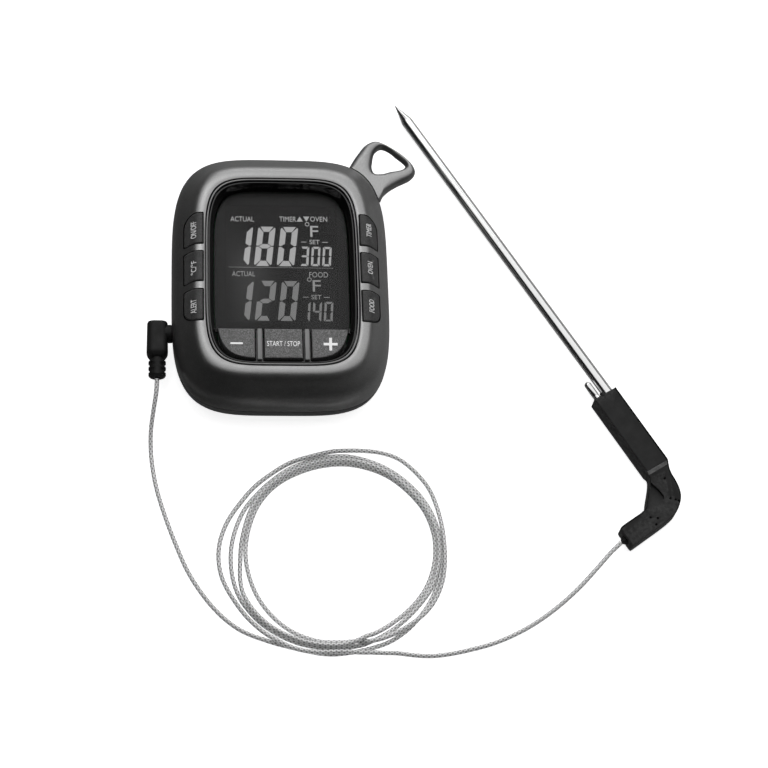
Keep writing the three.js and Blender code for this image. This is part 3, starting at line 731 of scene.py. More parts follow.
mark = cable_mesh.attributes.new("weave", "FLOAT_VECTOR", "CORNER")
mark.data.foreach_set("vector", cable_marks)
cable = link(bpy.data.objects.new("braided_cable", cable_mesh))


def braid_material():
    material, tree, shader = new_material("stainless_braid_painted_shade")
    attribute = tree.nodes.new("ShaderNodeAttribute")
    attribute.attribute_name = "weave"
    split = tree.nodes.new("ShaderNodeSeparateXYZ")
    tree.links.new(attribute.outputs["Vector"], split.inputs[0])

    def strand(sign):
        """Height of one family of wires: a wave across the wires that run one way round the cable."""
        along = calculate(tree, "MULTIPLY", split.outputs[0], sign * math.tau * 1000.0 / BRAID_PITCH)
        phase = calculate(tree, "MULTIPLY_ADD", split.outputs[1], float(BRAID_STRANDS), along)
        return calculate(tree, "COSINE", phase)

    # The weave pattern in the base colour runs dark into the valleys between wires: painted shade between
    # the strands.
    top = calculate(tree, "MAXIMUM", strand(1.0), strand(-1.0))
    at = coords(tree)
    fill(tree, shader, {
        "Base Color": ramp(tree, remap(tree, top, -0.6, 0.9, 0.0, 1.0), [
            (0.0, grey(0.26)), (0.3, grey(0.46)), (0.62, grey(0.84)), (1.0, grey(0.95))]),
        "Roughness": remap(tree, noise(tree, at, 1400.0), 0.3, 0.7, 0.26, 0.4), "Metallic": 0.2,
    })
    bump(tree, shader, noise(tree, at, 4200.0), 0.00003, 0.5)
    return material


paint(cable, braid_material())


# ---------------------------------------------------------------- housing
SIDE_KEYS = [
    ("key_power", "key_timer", 10.7, 23.5),
    ("key_units", "key_oven", -4.7, 7.5),
    ("key_alert", "key_food", -20.6, -8.1),
]


def side_plan(side, y0, y1, spare, round_low, round_high, corner=0.5):
    """Plan of a side key or its opening; the outer corners of the end keys are well rounded."""
    x0, x1 = 29.15 - spare, 35.9 + spare
    low, high = y0 - spare, y1 + spare
    bend_low = 5.0 if round_low else corner
    bend_high = 5.0 if round_high else corner
    points = []
    for cx, cy, radius, start in ((x1 - bend_low, low + bend_low, bend_low, -90),
                                  (x1 - bend_high, high - bend_high, bend_high, 0),
                                  (x0 + corner, high - corner, corner, 90),
                                  (x0 + corner, low + corner, corner, 180)):
        steps = 14 if radius > 1 else 5
        for i in range(steps + 1):
            a = math.radians(start + 90 * i / steps)
            points.append((cx + radius * math.cos(a), cy + radius * math.sin(a)))
    if side < 0:
        points = [(-x, y) for x, y in points][::-1]
    return points


def dense(points, step=0.45):
    out = []
    for (x0, y0), (x1, y1) in zip(points, points[1:] + points[:1]):
        length = math.hypot(x1 - x0, y1 - y0)
        if length < 1e-5:
            continue
        count = max(int(math.ceil(length / step)), 1)
        out += [(x0 + (x1 - x0) * i / count, y0 + (y1 - y0) * i / count) for i in range(count)]
    return out


inner_rim = [(0.3, 24.75), (0.3, 22.7), (1.8, 22.6), (3.6, 20.9), (5.6, 19.0), (8.9, 15.9), (10.1, 13.0),
             (10.2, 9.8)]
front = housing_loft(FRONT_STEPS + inner_rim, "front_cover", True)
cutters = []
for side in (-1, 1):
    for index, (_, _, y0, y1) in enumerate(SIDE_KEYS):
        opening = side_plan(side, y0, y1, KEY_SPARE, index == 2, index == 0, 0.6)
        cutters.append(prism(opening, 11, 31))
cutters.append(cylinder_x(-46, -33, JACK_Y, JACK_Z, JACK_HOLE_RADIUS))
boolean(front, cutters)
boolean(front, [bar(x, y, 9.8, 21.6, 3.0) for x, y in BOSSES], "UNION")
boolean(front, [bar(x, y, 0, 16.5, 1.25, 20) for x, y in BOSSES])
finish_piece(front, "shell", "housing", "front_shell")

REAR_STEPS = [(6.6, 0.0), (7.6, 0.12), (8.6, 0.55), (9.4, 1.2), (10.5, 2.3), (11.3, 3.5), (11.9, 5.0),
              (12.2, 6.5), (12.36, 8.0), (12.4, 9.3), (12.2, 9.5)]
rear = housing_loft(REAR_STEPS, "rear_cover")
boolean(rear, [housing_loft([(7.2, 2.2), (9.4, 4.4), (10.2, 10.5)])])
boolean(rear, [block(-25.9, 25.9, -41.3, -12.7, 0.8, 12.6)]
        + [bar(x, y, 0.8, 9.2, 3.7) for x, y in BOSSES], "UNION")
rear_cuts = [block(-24.3, 24.3, -39.4, -14.6, -1, 14), block(-25.2, 25.2, -60, -12.2, -1, 2.0),
             cylinder_x(-46, -33, JACK_Y, JACK_Z, JACK_HOLE_RADIUS)]
for x, y in BOSSES:
    rear_cuts += [bar(x, y, -1, 11, 1.6, 20), bar(x, y, -1, 3.0, 3.0), bar(x, y, 9.2, 14, 3.4)]
for i in range(4):
    rear_cuts.append(prism(rounded_rect(-8, 8, 26 + i * 2.4, 27 + i * 2.4, 0.45), -1, 3))
for cut in rear_cuts:
    boolean(rear, [cut])
finish_piece(rear, "rear", "housing", "rear_shell")

door = block(-24.9, 24.9, -55, -12.5, 0.0, 1.7)
boolean(door, [housing_loft(REAR_STEPS)], "INTERSECT")
ribs = [rounded_rect(-7, 7, -18.5 + i * 1.8, -17.7 + i * 1.8, 0.35) for i in range(3)]
boolean(door, [prism(rib, -1, 0.5) for rib in ribs])
soften(door, 0.15)
door.name = "battery_cover"
finish_piece(door, "rear", "battery_door", "battery_door")

# ---------------------------------------------------------------- bright ring, window frame, lens
ring_steps = [(-0.02, 23.9), (0.0, 24.9), (-0.07, 25.12), (-0.22, 25.22), (-0.48, 25.22), (-0.63, 25.12),
              (-0.7, 24.9), (-0.68, 23.9)]
trim = housing_loft(ring_steps, "trim_ring_bright", True, 50)
finish_piece(trim, "chrome", "housing", "trim_ring")

window_floor = outline(25.2, 35.6, 0, RIM_POWER)
bezel = housing_loft([(-1.0, 18.0), (-1.0, 19.6), (0.8, 19.6), (0.8, 22.2), (-1.0, 22.2), (-1.0, 24.4),
                      (-1.1, 24.6)], "window_bezel")
funnel = [(25.2, 35.6, 21.1), (25.45, 35.85, 21.8), (25.9, 36.3, 22.9), (26.4, 36.75, 23.9),
          (26.75, 37.05, 24.9)]
boolean(bezel, [ring_loft([[(x, y, z) for x, y in outline(w, h, 0, RIM_POWER)] for w, h, z in funnel])])


def clipped(points, x0, x1, y0, y1):
    """A convex outline cut to a rectangle."""
    for axis, limit, keep_low in ((0, x0, False), (0, x1, True), (1, y0, False), (1, y1, True)):
        out = []
        for p, q in zip(points, points[1:] + points[:1]):
            p_in = p[axis] <= limit if keep_low else p[axis] >= limit
            q_in = q[axis] <= limit if keep_low else q[axis] >= limit
            if p_in:
                out.append(p)
            if p_in != q_in:
                t = (limit - p[axis]) / (q[axis] - p[axis])
                out.append((p[0] + (q[0] - p[0]) * t, p[1] + (q[1] - p[1]) * t))
        points = out
    return points


holes = [prism(clipped(window_floor, x0, x1, -35.1, -22.6), 17, 24)
         for x0, x1 in ((-25.5, -9.9), (-7.4, 7.4), (9.9, 25.5))]
holes.append(prism(clipped(window_floor, -30, 30, -20.8, 40), 17, 24))
holes.append(prism(clipped(window_floor, -30, 30, -22.7, 0), 19.2, 24))
holes += [bar(x, y, 17, 26, 3.4) for x, y in BOSSES]
for hole in holes:
    boolean(bezel, [hole])
finish_piece(bezel, "gloss", "housing", "window_frame")

lens_plan = clipped(outline(24.9, 35.3, 0, RIM_POWER), -30, 30, -22.4, 40)
lens = prism(lens_plan, 19.5, 21.0, "display_window")
soften(lens, 0.18, 2)
lens_material, lens_tree, lens_shader = new_material("tinted_lens")
lens_at = coords(lens_tree)
fill(lens_tree, lens_shader, {
    "Base Color": ramp(lens_tree, noise(lens_tree, lens_at, 60.0),
                       [(0.3, grey(0.012)), (0.7, grey(0.016))]),
    "Roughness": remap(lens_tree, noise(lens_tree, lens_at, 160.0), 0.3, 0.7, 0.25, 0.27),
    "Alpha": 0.42, "Specular IOR Level": 0.36,
})
bump(lens_tree, lens_shader, noise(lens_tree, lens_at, 2600.0), 0.000001, 0.02)
MAT["lens"] = lens_material
finish_piece(lens, "lens", "housing", "display_lens")

for key, name, tone, vary, specular in (
    ("lcd", "lcd_face", 0.02, 0.08, 0.1), ("film", "lcd_film", 0.02, 0.05, 0.08),
    ("mask", "printed_mask", 0.03, 0.08, 0.15),
):
    MAT[key] = surface(name, grey(tone), vary, (0.3, 0.4), 0.0, 1200.0, 0.00001, 0.05, specular=specular)
glass = prism(rounded_rect(-21.6, 21.6, -19.6, 30.6, 0.3), 17.3, 19.1, "lcd_cell")
soften(glass, 0.12)
finish_piece(glass, "lcd", "housing", "lcd_glass")
film = prism(rounded_rect(-20.5, 20.5, -17.6, 29.8, 0.2), 19.1, 19.16, "lcd_polariser")
finish_piece(film, "film", "housing")
mask_outer = clipped(outline(24.7, 35.1, 0, RIM_POWER), -30, 30, -22.2, 40)
mask = prism(mask_outer, 19.42, 19.48, "lens_mask")
boolean(mask, [prism(rounded_rect(-20.9, 20.9, -18.0, 30.2, 0.2), 19, 20)])
finish_piece(mask, "mask", "housing")


# ---------------------------------------------------------------- display contents
def polygon_plates(name, polygons, z0, z1):
    verts, faces = [], []
    for polygon in polygons:
        n = len(polygon)
        base = len(verts)
        verts += [(x, y, z0) for x, y in polygon] + [(x, y, z1) for x, y in polygon]
        faces.append(tuple(range(base, base + n))[::-1])
        faces.append(tuple(range(base + n, base + 2 * n)))
        faces += [(base + i, base + (i + 1) % n, base + n + (i + 1) % n, base + n + i) for i in range(n)]
    return mesh_object(name, verts, faces)


SEGMENTS = {"0": "abcdef", "1": "bc", "2": "abged", "3": "abgcd", "4": "fgbc", "8": "abcdefg"}


def digit(char, x, y, w, h, t, slant, gap):
    """Seven-segment figure as a list of polygons, lower left corner at x, y."""
    m = h / 2
    e = gap / 2
    c = t * 0.35
    shapes = {
        "a": [(c + e, h), (w - c - e, h), (w - t - e * 0.2, h - t), (t + e * 0.2, h - t)],
        "d": [(t + e * 0.2, t), (w - t - e * 0.2, t), (w - c - e, 0), (c + e, 0)],
        "f": [(0, h - c - e), (c * 0.5, h - e - 0.1 * t), (t, h - t - gap), (t, m + t * 0.45 + e),
              (t * 0.35, m + e), (0, m + e + 0.1 * t)],
        "e": [(0, m - e - 0.1 * t), (t * 0.35, m - e), (t, m - t * 0.45 - e), (t, t + gap),
              (c * 0.5, e + 0.1 * t), (0, c + e)],
        "g": [(t * 0.4 + e, m), (t + e, m + t * 0.42), (w - t - e, m + t * 0.42), (w - t * 0.4 - e, m),
              (w - t - e, m - t * 0.42), (t + e, m - t * 0.42)],
    }
    shapes["b"] = [(w - px, py) for px, py in shapes["f"]][::-1]
    shapes["c"] = [(w - px, py) for px, py in shapes["e"]][::-1]
    return [[(x + px + slant * py, y + py) for px, py in shapes[s]] for s in SEGMENTS[char]]


def number(name, text, xs, y, w, h, t, slant, gap, material):
    polygons = []
    for char, x in zip(text, xs):
        polygons += digit(char, x, y, w, h, t, slant, gap)
    finish_piece(polygon_plates(name, polygons, PRINT_LOW, PRINT_HIGH), material, "housing")


LARGE_X = (-18.6, -10.2, -1.75)
SMALL_X = (6.8, 11.0, 15.2)
LARGE = (2.15, 0.115, 0.3)
SMALL = (0.85, 0.07, 0.22)
number("oven_actual_figures", "180", LARGE_X, 4.7, 6.5, 16.5, *LARGE, "bright")
number("oven_set_figures", "300", SMALL_X, 4.9, 3.25, 8.1, *SMALL, "label")
number("food_actual_figures", "120", LARGE_X, -18.1, 6.5, 16.6, *LARGE, "dim")
number("food_set_figures", "140", SMALL_X, -18.1, 3.25, 8.2, *SMALL, "dim")


def lettering(name, text, box, z0, z1, top=None):
    """Plain raised lettering fitted to a rectangle: flat, or turned upright and following a surface."""
    curve = bpy.data.curves.new(name + "_curve", "FONT")
    curve.body = text
    curve.extrude = 0.5
    curve.resolution_u = 4
    temp = link(bpy.data.objects.new(name + "_curve", curve))
    graph = bpy.context.evaluated_depsgraph_get()
    graph.update()
    mesh = bpy.data.meshes.new_from_object(temp.evaluated_get(graph))
    mesh.name = name
    bpy.data.objects.remove(temp)
    bpy.data.curves.remove(curve)
    pts = np.array([v.co[:] for v in mesh.vertices])
    if top:
        pts = np.stack([-pts[:, 1], pts[:, 0], pts[:, 2]], axis=1)
    low, high = pts.min(axis=0), pts.max(axis=0)
    x0, x1, y0, y1 = box
    pts[:, 0] = x0 + (pts[:, 0] - low[0]) / (high[0] - low[0]) * (x1 - x0)
    pts[:, 1] = y0 + (pts[:, 1] - low[1]) / (high[1] - low[1]) * (y1 - y0)
    for vertex, (x, y, z) in zip(mesh.vertices, pts):
        base = top(x, y) if top else 0.0
        vertex.co = (x * MM, y * MM, (base + (z1 if z > 0 else z0)) * MM)
    obj = link(bpy.data.objects.new(name, mesh))
    bm = bmesh.new()
    bm.from_mesh(mesh)
    bmesh.ops.remove_doubles(bm, verts=bm.verts, dist=1e-7)
    bm.to_mesh(mesh)
    bm.free()
    return obj


for name, text, box, material in (
    ("label_actual_oven", "ACTUAL", (-18.7, -9.9, 23.3, 25.4), "label"),
    ("label_timer", "TIMER", (-0.4, 5.9, 23.5, 25.6), "label"),
    ("label_oven", "OVEN", (11.2, 17.6, 23.7, 25.8), "label"),
    ("label_actual_food", "ACTUAL", (-18.3, -9.8, 0.3, 2.4), "faint"),
    ("label_food", "FOOD", (10.3, 17.3, 0.2, 2.4), "faint"),
    ("unit_oven", "F", (11.1, 14.1, 17.2, 21.8), "label"),
    ("unit_food", "F", (11.5, 14.5, -5.7, -1.0), "faint"),
    ("label_set_oven", "SET", (10.7, 14.5, 14.1, 15.9), "label"),
    ("label_set_food", "SET", (10.9, 14.6, -8.9, -7.1), "faint"),
):
    finish_piece(lettering(name, text, box, PRINT_LOW, PRINT_HIGH), material, "housing")


def annulus(name, x, y, outer, inner, material):
    rings = []
    for radius, z in ((outer, PRINT_LOW), (outer, PRINT_HIGH), (inner, PRINT_HIGH), (inner, PRINT_LOW)):
        turns = [i / 28 * math.tau for i in range(28)]
        rings.append([(x + radius * math.cos(a), y + radius * math.sin(a), z) for a in turns])
    finish_piece(ring_loft(rings, closed=True, name=name), material, "housing")


annulus("degree_mark_oven", 10.0, 22.5, 0.85, 0.6, "label")
annulus("degree_mark_food", 10.3, -0.75, 0.85, 0.6, "faint")


def rect(x0, x1, y0, y1):
    return [(x0, y0), (x1, y0), (x1, y1), (x0, y1)]


finish_piece(polygon_plates("marks_oven", [
    [(6.1, 23.6), (8.4, 23.6), (7.25, 25.7)], [(8.6, 25.75), (10.9, 25.75), (9.75, 23.65)],
    rect(7.6, 9.6, 14.85, 15.05), rect(15.4, 17.6, 14.85, 15.05)], PRINT_LOW, PRINT_HIGH),
    "label", "housing")
finish_piece(polygon_plates("marks_food", [
    rect(7.8, 9.9, -8.15, -7.95), rect(15.5, 17.7, -8.15, -7.95)], PRINT_LOW, PRINT_HIGH),
    "faint", "housing")
finish_piece(polygon_plates("divider_line", [
    rect(-19.6 + i * 0.62, -19.6 + i * 0.62 + 0.44, 4.02, 4.16) for i in range(63)], PRINT_LOW, 19.24),
    "faint", "housing")


# ---------------------------------------------------------------- keys
def inset(points, distance):
    """A counter-clockwise outline moved inwards."""
    n = len(points)
    out = []
    for i in range(n):
        x0, y0 = points[i - 1]
        x1, y1 = points[i]
        x2, y2 = points[(i + 1) % n]
        tx, ty = x2 - x0, y2 - y0
        length = math.hypot(tx, ty) or 1.0
        out.append((x1 - ty / length * distance, y1 + tx / length * distance))
    return out


def cap(name, plan, top, z_bottom, radius=0.45):
    """Moulded key: straight sides, a rounded rim and a top that follows the given surface."""
    plan = dense(plan)
    rings = [[(x, y, z_bottom) for x, y in plan]]
    rings.append([(x, y, top(x, y) - radius - 0.6) for x, y in plan])
    for k in range(6):
        a = math.radians(90 * k / 5)
        moved = inset(plan, radius * (1 - math.cos(a)))
        rings.append([(x, y, top(x, y) - radius * (1 - math.sin(a))) for x, y in moved])
    inner = inset(plan, radius)
    cx = sum(p[0] for p in inner) / len(inner)
    cy = sum(p[1] for p in inner) / len(inner)
    for share in (0.92, 0.8, 0.65, 0.5, 0.35, 0.2, 0.08):
        moved = [(cx + (x - cx) * share, cy + (y - cy) * share) for x, y in inner]
        rings.append([(x, y, top(x, y)) for x, y in moved])
    return ring_loft(rings, name=name, angle=50)


def crown_top(x, y):
    return surface_z(x, y) + KEY_LIFT


LEGENDS = {
    "key_power": ("ON/OFF", 7.0), "key_units": ("°C/°F", 5.6), "key_alert": ("ALERT", 5.6),
    "key_timer": ("TIMER", 5.6), "key_oven": ("OVEN", 5.0), "key_food": ("FOOD", 5.0),
}
for side in (-1, 1):
    for index, (left, right, y0, y1) in enumerate(SIDE_KEYS):
        name = left if side < 0 else right
        plan = side_plan(side, y0, y1, 0.0, index == 2, index == 0)
        body = cap(name + "_cap", plan, crown_top, 17.3)
        finish_piece(body, "side_key", name, name)
        text, length = LEGENDS[name]
        middle = side * 32.6
        centre = (y0 + y1) / 2 - (0.8 if side < 0 else -0.2)
        box = (middle - 1.0, middle + 1.0, centre - length / 2, centre + length / 2)
        # The side key legends glow: painted light.
        finish_piece(lettering(name + "_legend", text, box, -0.15, 0.24, crown_top), "side_print_painted_glow", name)


def flat_top(x, y):
    """Top of the lower keys, very slightly crowned across the width."""
    return 23.2 - 0.00035 * (x * x) * 0.4


key_plan = outline(24.4, 34.8, 0, RIM_POWER)
for name, x0, x1 in (("key_minus", -24.7, -10.4), ("key_start_stop", -6.9, 6.9), ("key_plus", 10.4, 24.7)):
    plan = clipped(key_plan, x0, x1, -34.7, -23.0)
    body = cap(name + "_cap", plan, flat_top, 18.4, 0.4)
    finish_piece(body, "key", name, name)


# Key legends in the print material with a painted glow.
def raised(name, polygons, body):
    finish_piece(polygon_plates(name, polygons, 23.08, 23.23), "print_painted_glow", body)


raised("key_minus_legend", [rect(-19.3, -14.8, -29.35, -28.65)], "key_minus")
raised("key_plus_legend", [[
    (14.6, -29.55), (16.65, -29.55), (16.65, -31.6), (17.65, -31.6), (17.65, -29.55), (19.7, -29.55),
    (19.7, -28.55), (17.65, -28.55), (17.65, -26.5), (16.65, -26.5), (16.65, -28.55), (14.6, -28.55),
]], "key_plus")
start_stop = lettering("key_start_stop_legend", "START / STOP", (-6.0, 6.0, -30.0, -28.0), 23.1, 23.23)
finish_piece(start_stop, "print_painted_glow", "key_start_stop")

for side, name in ((-1, "key_bar_left"), (1, "key_bar_right")):
    x = side * 8.65
    piece = prism(rounded_rect(x - 0.85, x + 0.85, -35.4, -23.0, 0.25, 4), 21.3, 23.3, name + "_moulding")
    soften(piece, 0.2, 3)
    finish_piece(piece, "bar", "housing", name)

# ---------------------------------------------------------------- hanging loop
loop_edge = [
    (27.2, 50.0), (29.0, 53.3), (30.9, 56.2), (33.3, 59.3), (37.3, 61.3), (43.0, 58.8), (48.6, 54.6),
    (51.9, 50.4), (52.4, 47.8), (50.5, 45.2), (45.2, 42.2), (41.7, 39.8), (39.3, 37.2), (38.3, 34.8),
    (36.8, 33.8), (25.6, 46.6),
]
loop_hole = [
    (39.8, 58.7), (42.4, 57.8), (45.2, 55.2), (48.5, 52.0), (48.7, 50.4), (47.2, 49.0), (42.6, 48.0),
    (39.7, 47.1), (36.8, 47.2), (35.8, 49.5), (36.0, 52.1), (37.2, 56.7),
]
LOOP_CENTRE = (41.0, 52.0)
LOOP_LEVEL = 14.2
LOOP_HALF_THICKNESS = 2.6
LOOP_ROUND = 3.1          # width of the rounding along both edges


def smooth_loop(points, per=8):
    return [tuple(p) for p in catmull(points, per, closed=True)]


def reach_at(loop, angle):
    """Distance from the middle of the eye to an outline, in one direction."""
    dx, dy = math.cos(angle), math.sin(angle)
    best = 0.0
    for (x0, y0), (x1, y1) in zip(loop, loop[1:] + loop[:1]):
        ex, ey = x1 - x0, y1 - y0
        cross = dx * ey - dy * ex
        if abs(cross) < 1e-9:
            continue
        rx, ry = x0 - LOOP_CENTRE[0], y0 - LOOP_CENTRE[1]
        t = (rx * ey - ry * ex) / cross
        u = (rx * dy - ry * dx) / cross
        if t > 0 and -1e-6 <= u <= 1 + 1e-6:
            best = max(best, t)
    return best


outer_loop, inner_loop = smooth_loop(loop_edge), smooth_loop(loop_hole)
eye_rings = []
for i in range(180):
    a = i / 180 * math.tau
    r0, r1 = reach_at(inner_loop, a), reach_at(outer_loop, a)
    wide = r1 - r0
    edge = min(wide / 2, LOOP_ROUND)
    tall = LOOP_HALF_THICKNESS * min(1.0, 0.72 + 0.28 * wide / 5.0)
    ring = []
    for side in (1, -1):
        arc = []
        for k in range(9):
            b = math.radians(90 * k / 8)
            arc.append((r0 + edge * (1 - math.cos(b)), tall * math.sin(b) ** 0.8))
        for k in range(1, 6):
            share = k / 6
            arc.append((r0 + edge + (wide - 2 * edge) * share, tall))
        for k in range(8, -1, -1):
            b = math.radians(90 * k / 8)
            arc.append((r1 - edge * (1 - math.cos(b)), tall * math.sin(b) ** 0.8))
        points = [(r, side * h) for r, h in arc]
        ring += points if side > 0 else points[::-1][1:-1]
    eye_rings.append([(LOOP_CENTRE[0] + r * math.cos(a), LOOP_CENTRE[1] + r * math.sin(a), LOOP_LEVEL + h)
                      for r, h in ring])
hanger = ring_loft(eye_rings, closed=True, name="hanging_eye", angle=60)
boolean(hanger, [housing_loft([(12.72, 9), (12.7, 11.2), (12.62, 12.6), (12.44, 14.0), (12.12, 15.3),
                               (11.67, 16.5), (11.07, 17.55), (10.6, 18.2)])], solver="EXACT", angle=60)
finish_piece(hanger, "shell", "housing", "hanging_loop")

# ---------------------------------------------------------------- plug
pin = lathe([(0, 0), (1.15, 0), (1.25, 0.15), (1.25, 3.2), (1.18, 3.3), (1.18, 3.7), (1.25, 3.8),
             (1.25, 7.8), (1.0, 8.2), (0.95, 8.5), (0.98, 8.9), (1.25, 9.4), (0.95, 10.7), (0.6, 11.3),
             (0.3, 11.6), (0, 11.6)], "jack_contact_pin", 40)
place(pin, shifted(-39.4, JACK_Y, JACK_Z) @ ALONG_X)
finish_piece(pin, "brass", "jack_plug", "jack_pin")

PLUG_POWER = 3.4          # squareness of the plug's section
PLUG_STEPS = [(0.8, 3.4), (0.88, 3.6), (1.08, 3.74), (1.4, 3.8), (3.0, 3.82), (8.0, 3.87), (12.3, 3.93),
              (12.9, 3.88), (13.5, 3.65), (14.3, 3.2), (14.8, 2.8), (15.1, 2.4)]
plug_rings = []
for v, half in PLUG_STEPS:
    ring = []
    for k in range(72):
        a = k / 72 * math.tau
        c, d = math.cos(a), math.sin(a)
        reach = half / (abs(c) ** PLUG_POWER + abs(d) ** PLUG_POWER) ** (1 / PLUG_POWER)
        ring.append((reach * c, reach * d, v))
    plug_rings.append(ring)
plug = ring_loft(plug_rings, name="plug_moulding", angle=40)
place(plug, shifted(PLUG_X, -14.0, JACK_Z) @ ALONG_MINUS_Y)
collar = lathe([(0, 0), (3.4, 0), (3.4, 3.6), (3.3, 4.2), (3.0, 4.6), (0, 4.6)], "collar", 56)
place(collar, shifted(-44.3, JACK_Y, JACK_Z) @ ALONG_X)
boolean(plug, [collar], "UNION")
finish_piece(plug, "rubber", "jack_plug", "plug_body")

RELIEF_LENGTH = 7.2
RIB_PITCH = 2.3
RIB_RADIUS = 3.2
NOTCH_DEPTH = 0.95
relief_rings = []
for i in range(73):
    v = i / 72 * RELIEF_LENGTH
    notch = 0.0
    if v < 6.7:
        wave = math.cos((v - 1.35) / RIB_PITCH * math.tau + math.pi)
        notch = min(1.0, max(0.0, 0.5 + 0.9 * wave))
    rib = RIB_RADIUS if v < 6.6 else RIB_RADIUS - (v - 6.6) * 2.4
    ring = []
    for k in range(48):
        a = k / 48 * math.tau
        radius = rib - NOTCH_DEPTH * notch * abs(math.cos(a)) ** 2.2
        ring.append((radius * math.cos(a), radius * math.sin(a), v))
    relief_rings.append(ring)
relief_start = [(x * 0.8, y * 0.8, z) for x, y, z in relief_rings[0]]
relief = ring_loft([relief_start] + relief_rings, name="strain_relief", angle=50)
place(relief, shifted(PLUG_X, -29.4, JACK_Z) @ ALONG_MINUS_Y)
finish_piece(relief, "rubber", "jack_plug", "plug_strain_relief")

# ---------------------------------------------------------------- probe
def rounded_plate(name, loop, half_thickness, edge):
    """Plate whose rim is rounded between its flat faces."""
    rings = []
    for k in range(7):
        b = math.radians(15 * k)
        rings.append([(x, y, -half_thickness + edge * (1 - math.sin(b)))
                      for x, y in inset(loop, edge * (1 - math.cos(math.pi / 2 - b)))])
    rings += [[(x, y, -z) for x, y, z in ring] for ring in reversed(rings)]
    return ring_loft(rings, name=name, angle=40)


GRIP_ORIGIN = (120.83, -40.8, 3.85)
PROBE_ANGLE = -59.53
PROBE_TILT = -0.76
NEEDLE_LENGTH = 146.2
NEEDLE_OFFSET = 0.75      # of the tip from the grip's axis
NEEDLE_RISE = 0.5
NEEDLE_SKEW = 0.555
OVEN_TUBE_OFFSET = -2.2
CABLE_SEAT_U = 51.2       # along the grip, where the cable enters its short leg
GRIP_HALF_THICKNESS = 3.7
STEP_START = 34.0         # where the grip slopes down to the thinner elbow
STEP_LENGTH = 1.3
STEP_SHARE = 0.22         # of the thickness lost there
WEB_HALF_THICKNESS = 1.2

PROBE = shifted(*GRIP_ORIGIN) @ spin(PROBE_ANGLE, "Z") @ spin(PROBE_TILT, "Y")

needle = lathe([(0, 0), (0.14, 0.12), (0.3, 0.7), (1.0, 3.75), (1.6, 6.2), (2.12, 8.1), (2.22, 8.6),
                (2.25, 9.3), (2.25, 158.5), (0, 158.5)], "needle_tube", 72)
boolean(needle, [lathe([(0, 6.4), (1.55, 9.6), (1.55, 170), (0, 170)], "bore", 32)])
needle_tip = shifted(-NEEDLE_LENGTH, NEEDLE_OFFSET, NEEDLE_RISE)
place(needle, PROBE @ needle_tip @ spin(NEEDLE_SKEW, "Z") @ ALONG_X)
finish_piece(needle, "needle", "probe_lead", "probe_needle")

oven_profile = [(1.35 * math.sin(i / 8 * math.pi / 2), 1.35 * (1 - math.cos(i / 8 * math.pi / 2)))
                for i in range(9)]
sensor = lathe(oven_profile + [(1.35, 6.4), (1.28, 6.55), (1.28, 6.85), (1.35, 7.0), (1.35, 16), (0.95, 16),
                               (0.95, 1.6), (0, 0.9)], "oven_sensor_sleeve", 48)
place(sensor, PROBE @ shifted(-8.2, OVEN_TUBE_OFFSET, 0) @ ALONG_X)
finish_piece(sensor, "needle", "probe_lead", "oven_sensor_tube")

grip_edge = [
    (-4, 4.9), (0, 4.9), (6, 4.9), (12, 4.9), (20, 4.9), (28, 4.9), (33.4, 4.9), (34.4, 4.75),
    (35.6, 4.3), (37.2, 3.6), (39.1, 3.1), (42.0, 2.85), (45.6, 2.1), (48.3, 0.8), (50.5, -1.3),
    (52.6, -4.6), (53.4, -7.9), (53.9, -11.7), (54.4, -17.6), (55.0, -25.0), (55.0, -25.7),
    (54.6, -25.95), (51.0, -26.0), (47.6, -26.0), (47.0, -25.7), (46.7, -24.6), (46.3, -19.1),
    (46.0, -15.4), (45.2, -12.9), (42.9, -10.75), (40.0, -7.9), (37.0, -5.3), (35.9, -4.75),
    (34.4, -4.7), (28, -4.7), (20, -4.7), (12, -4.7), (6, -4.7), (0, -4.7), (-4, -4.7),
]
grip = rounded_plate("grip_moulding", smooth_loop(grip_edge, 6)[::-1], GRIP_HALF_THICKNESS, 0.45)


def grip_thin(u):
    """The grip steps down at a short slope to the thinner elbow."""
    share = min(max((u - STEP_START) / STEP_LENGTH, 0.0), 1.0)
    return 1.0 - STEP_SHARE * share


bm = bmesh.new()
bm.from_mesh(grip.data)
for u in (34.0, 34.15, 34.65, 35.15, 35.3):
    every = bm.verts[:] + bm.edges[:] + bm.faces[:]
    bmesh.ops.bisect_plane(bm, geom=every, plane_co=(u * MM, 0, 0), plane_no=(1, 0, 0))
bm.to_mesh(grip.data)
bm.free()
for vertex in grip.data.vertices:
    vertex.co.z *= grip_thin(vertex.co.x / MM)
tidy(grip, 30)
boolean(grip, [block(-20, 0, -20, 20, -12, 12)], solver="EXACT", angle=30)
web = [(38.0, -5.6), (41.6, -4.7), (44.6, -4.5), (45.6, -5.0), (46.2, -6.4), (46.6, -9.6), (46.4, -12.0),
       (45.6, -12.5), (43.2, -10.2), (40.2, -7.2)]
boolean(grip, [prism(web, WEB_HALF_THICKNESS, 9), prism(web, -9, -WEB_HALF_THICKNESS)],
        solver="EXACT", angle=30)
DIMPLES = [(39.4, -0.2), (46.9, -3.0), (48.3, -1.6), (49.2, -0.9), (49.3, -13.8), (50.9, -11.7),
           (52.6, -13.6)]
dimples = []
for u, v in DIMPLES:
    for side in (-1, 1):
        dimple = lathe([(0, -1.3), (0.4, -1.2), (0.5, 0), (0.4, 1.2), (0, 1.3)], "pip", 16)
        dimples.append(place(dimple, shifted(u, v, side * 2.9)))
boolean(grip, dimples, solver="EXACT", angle=30)
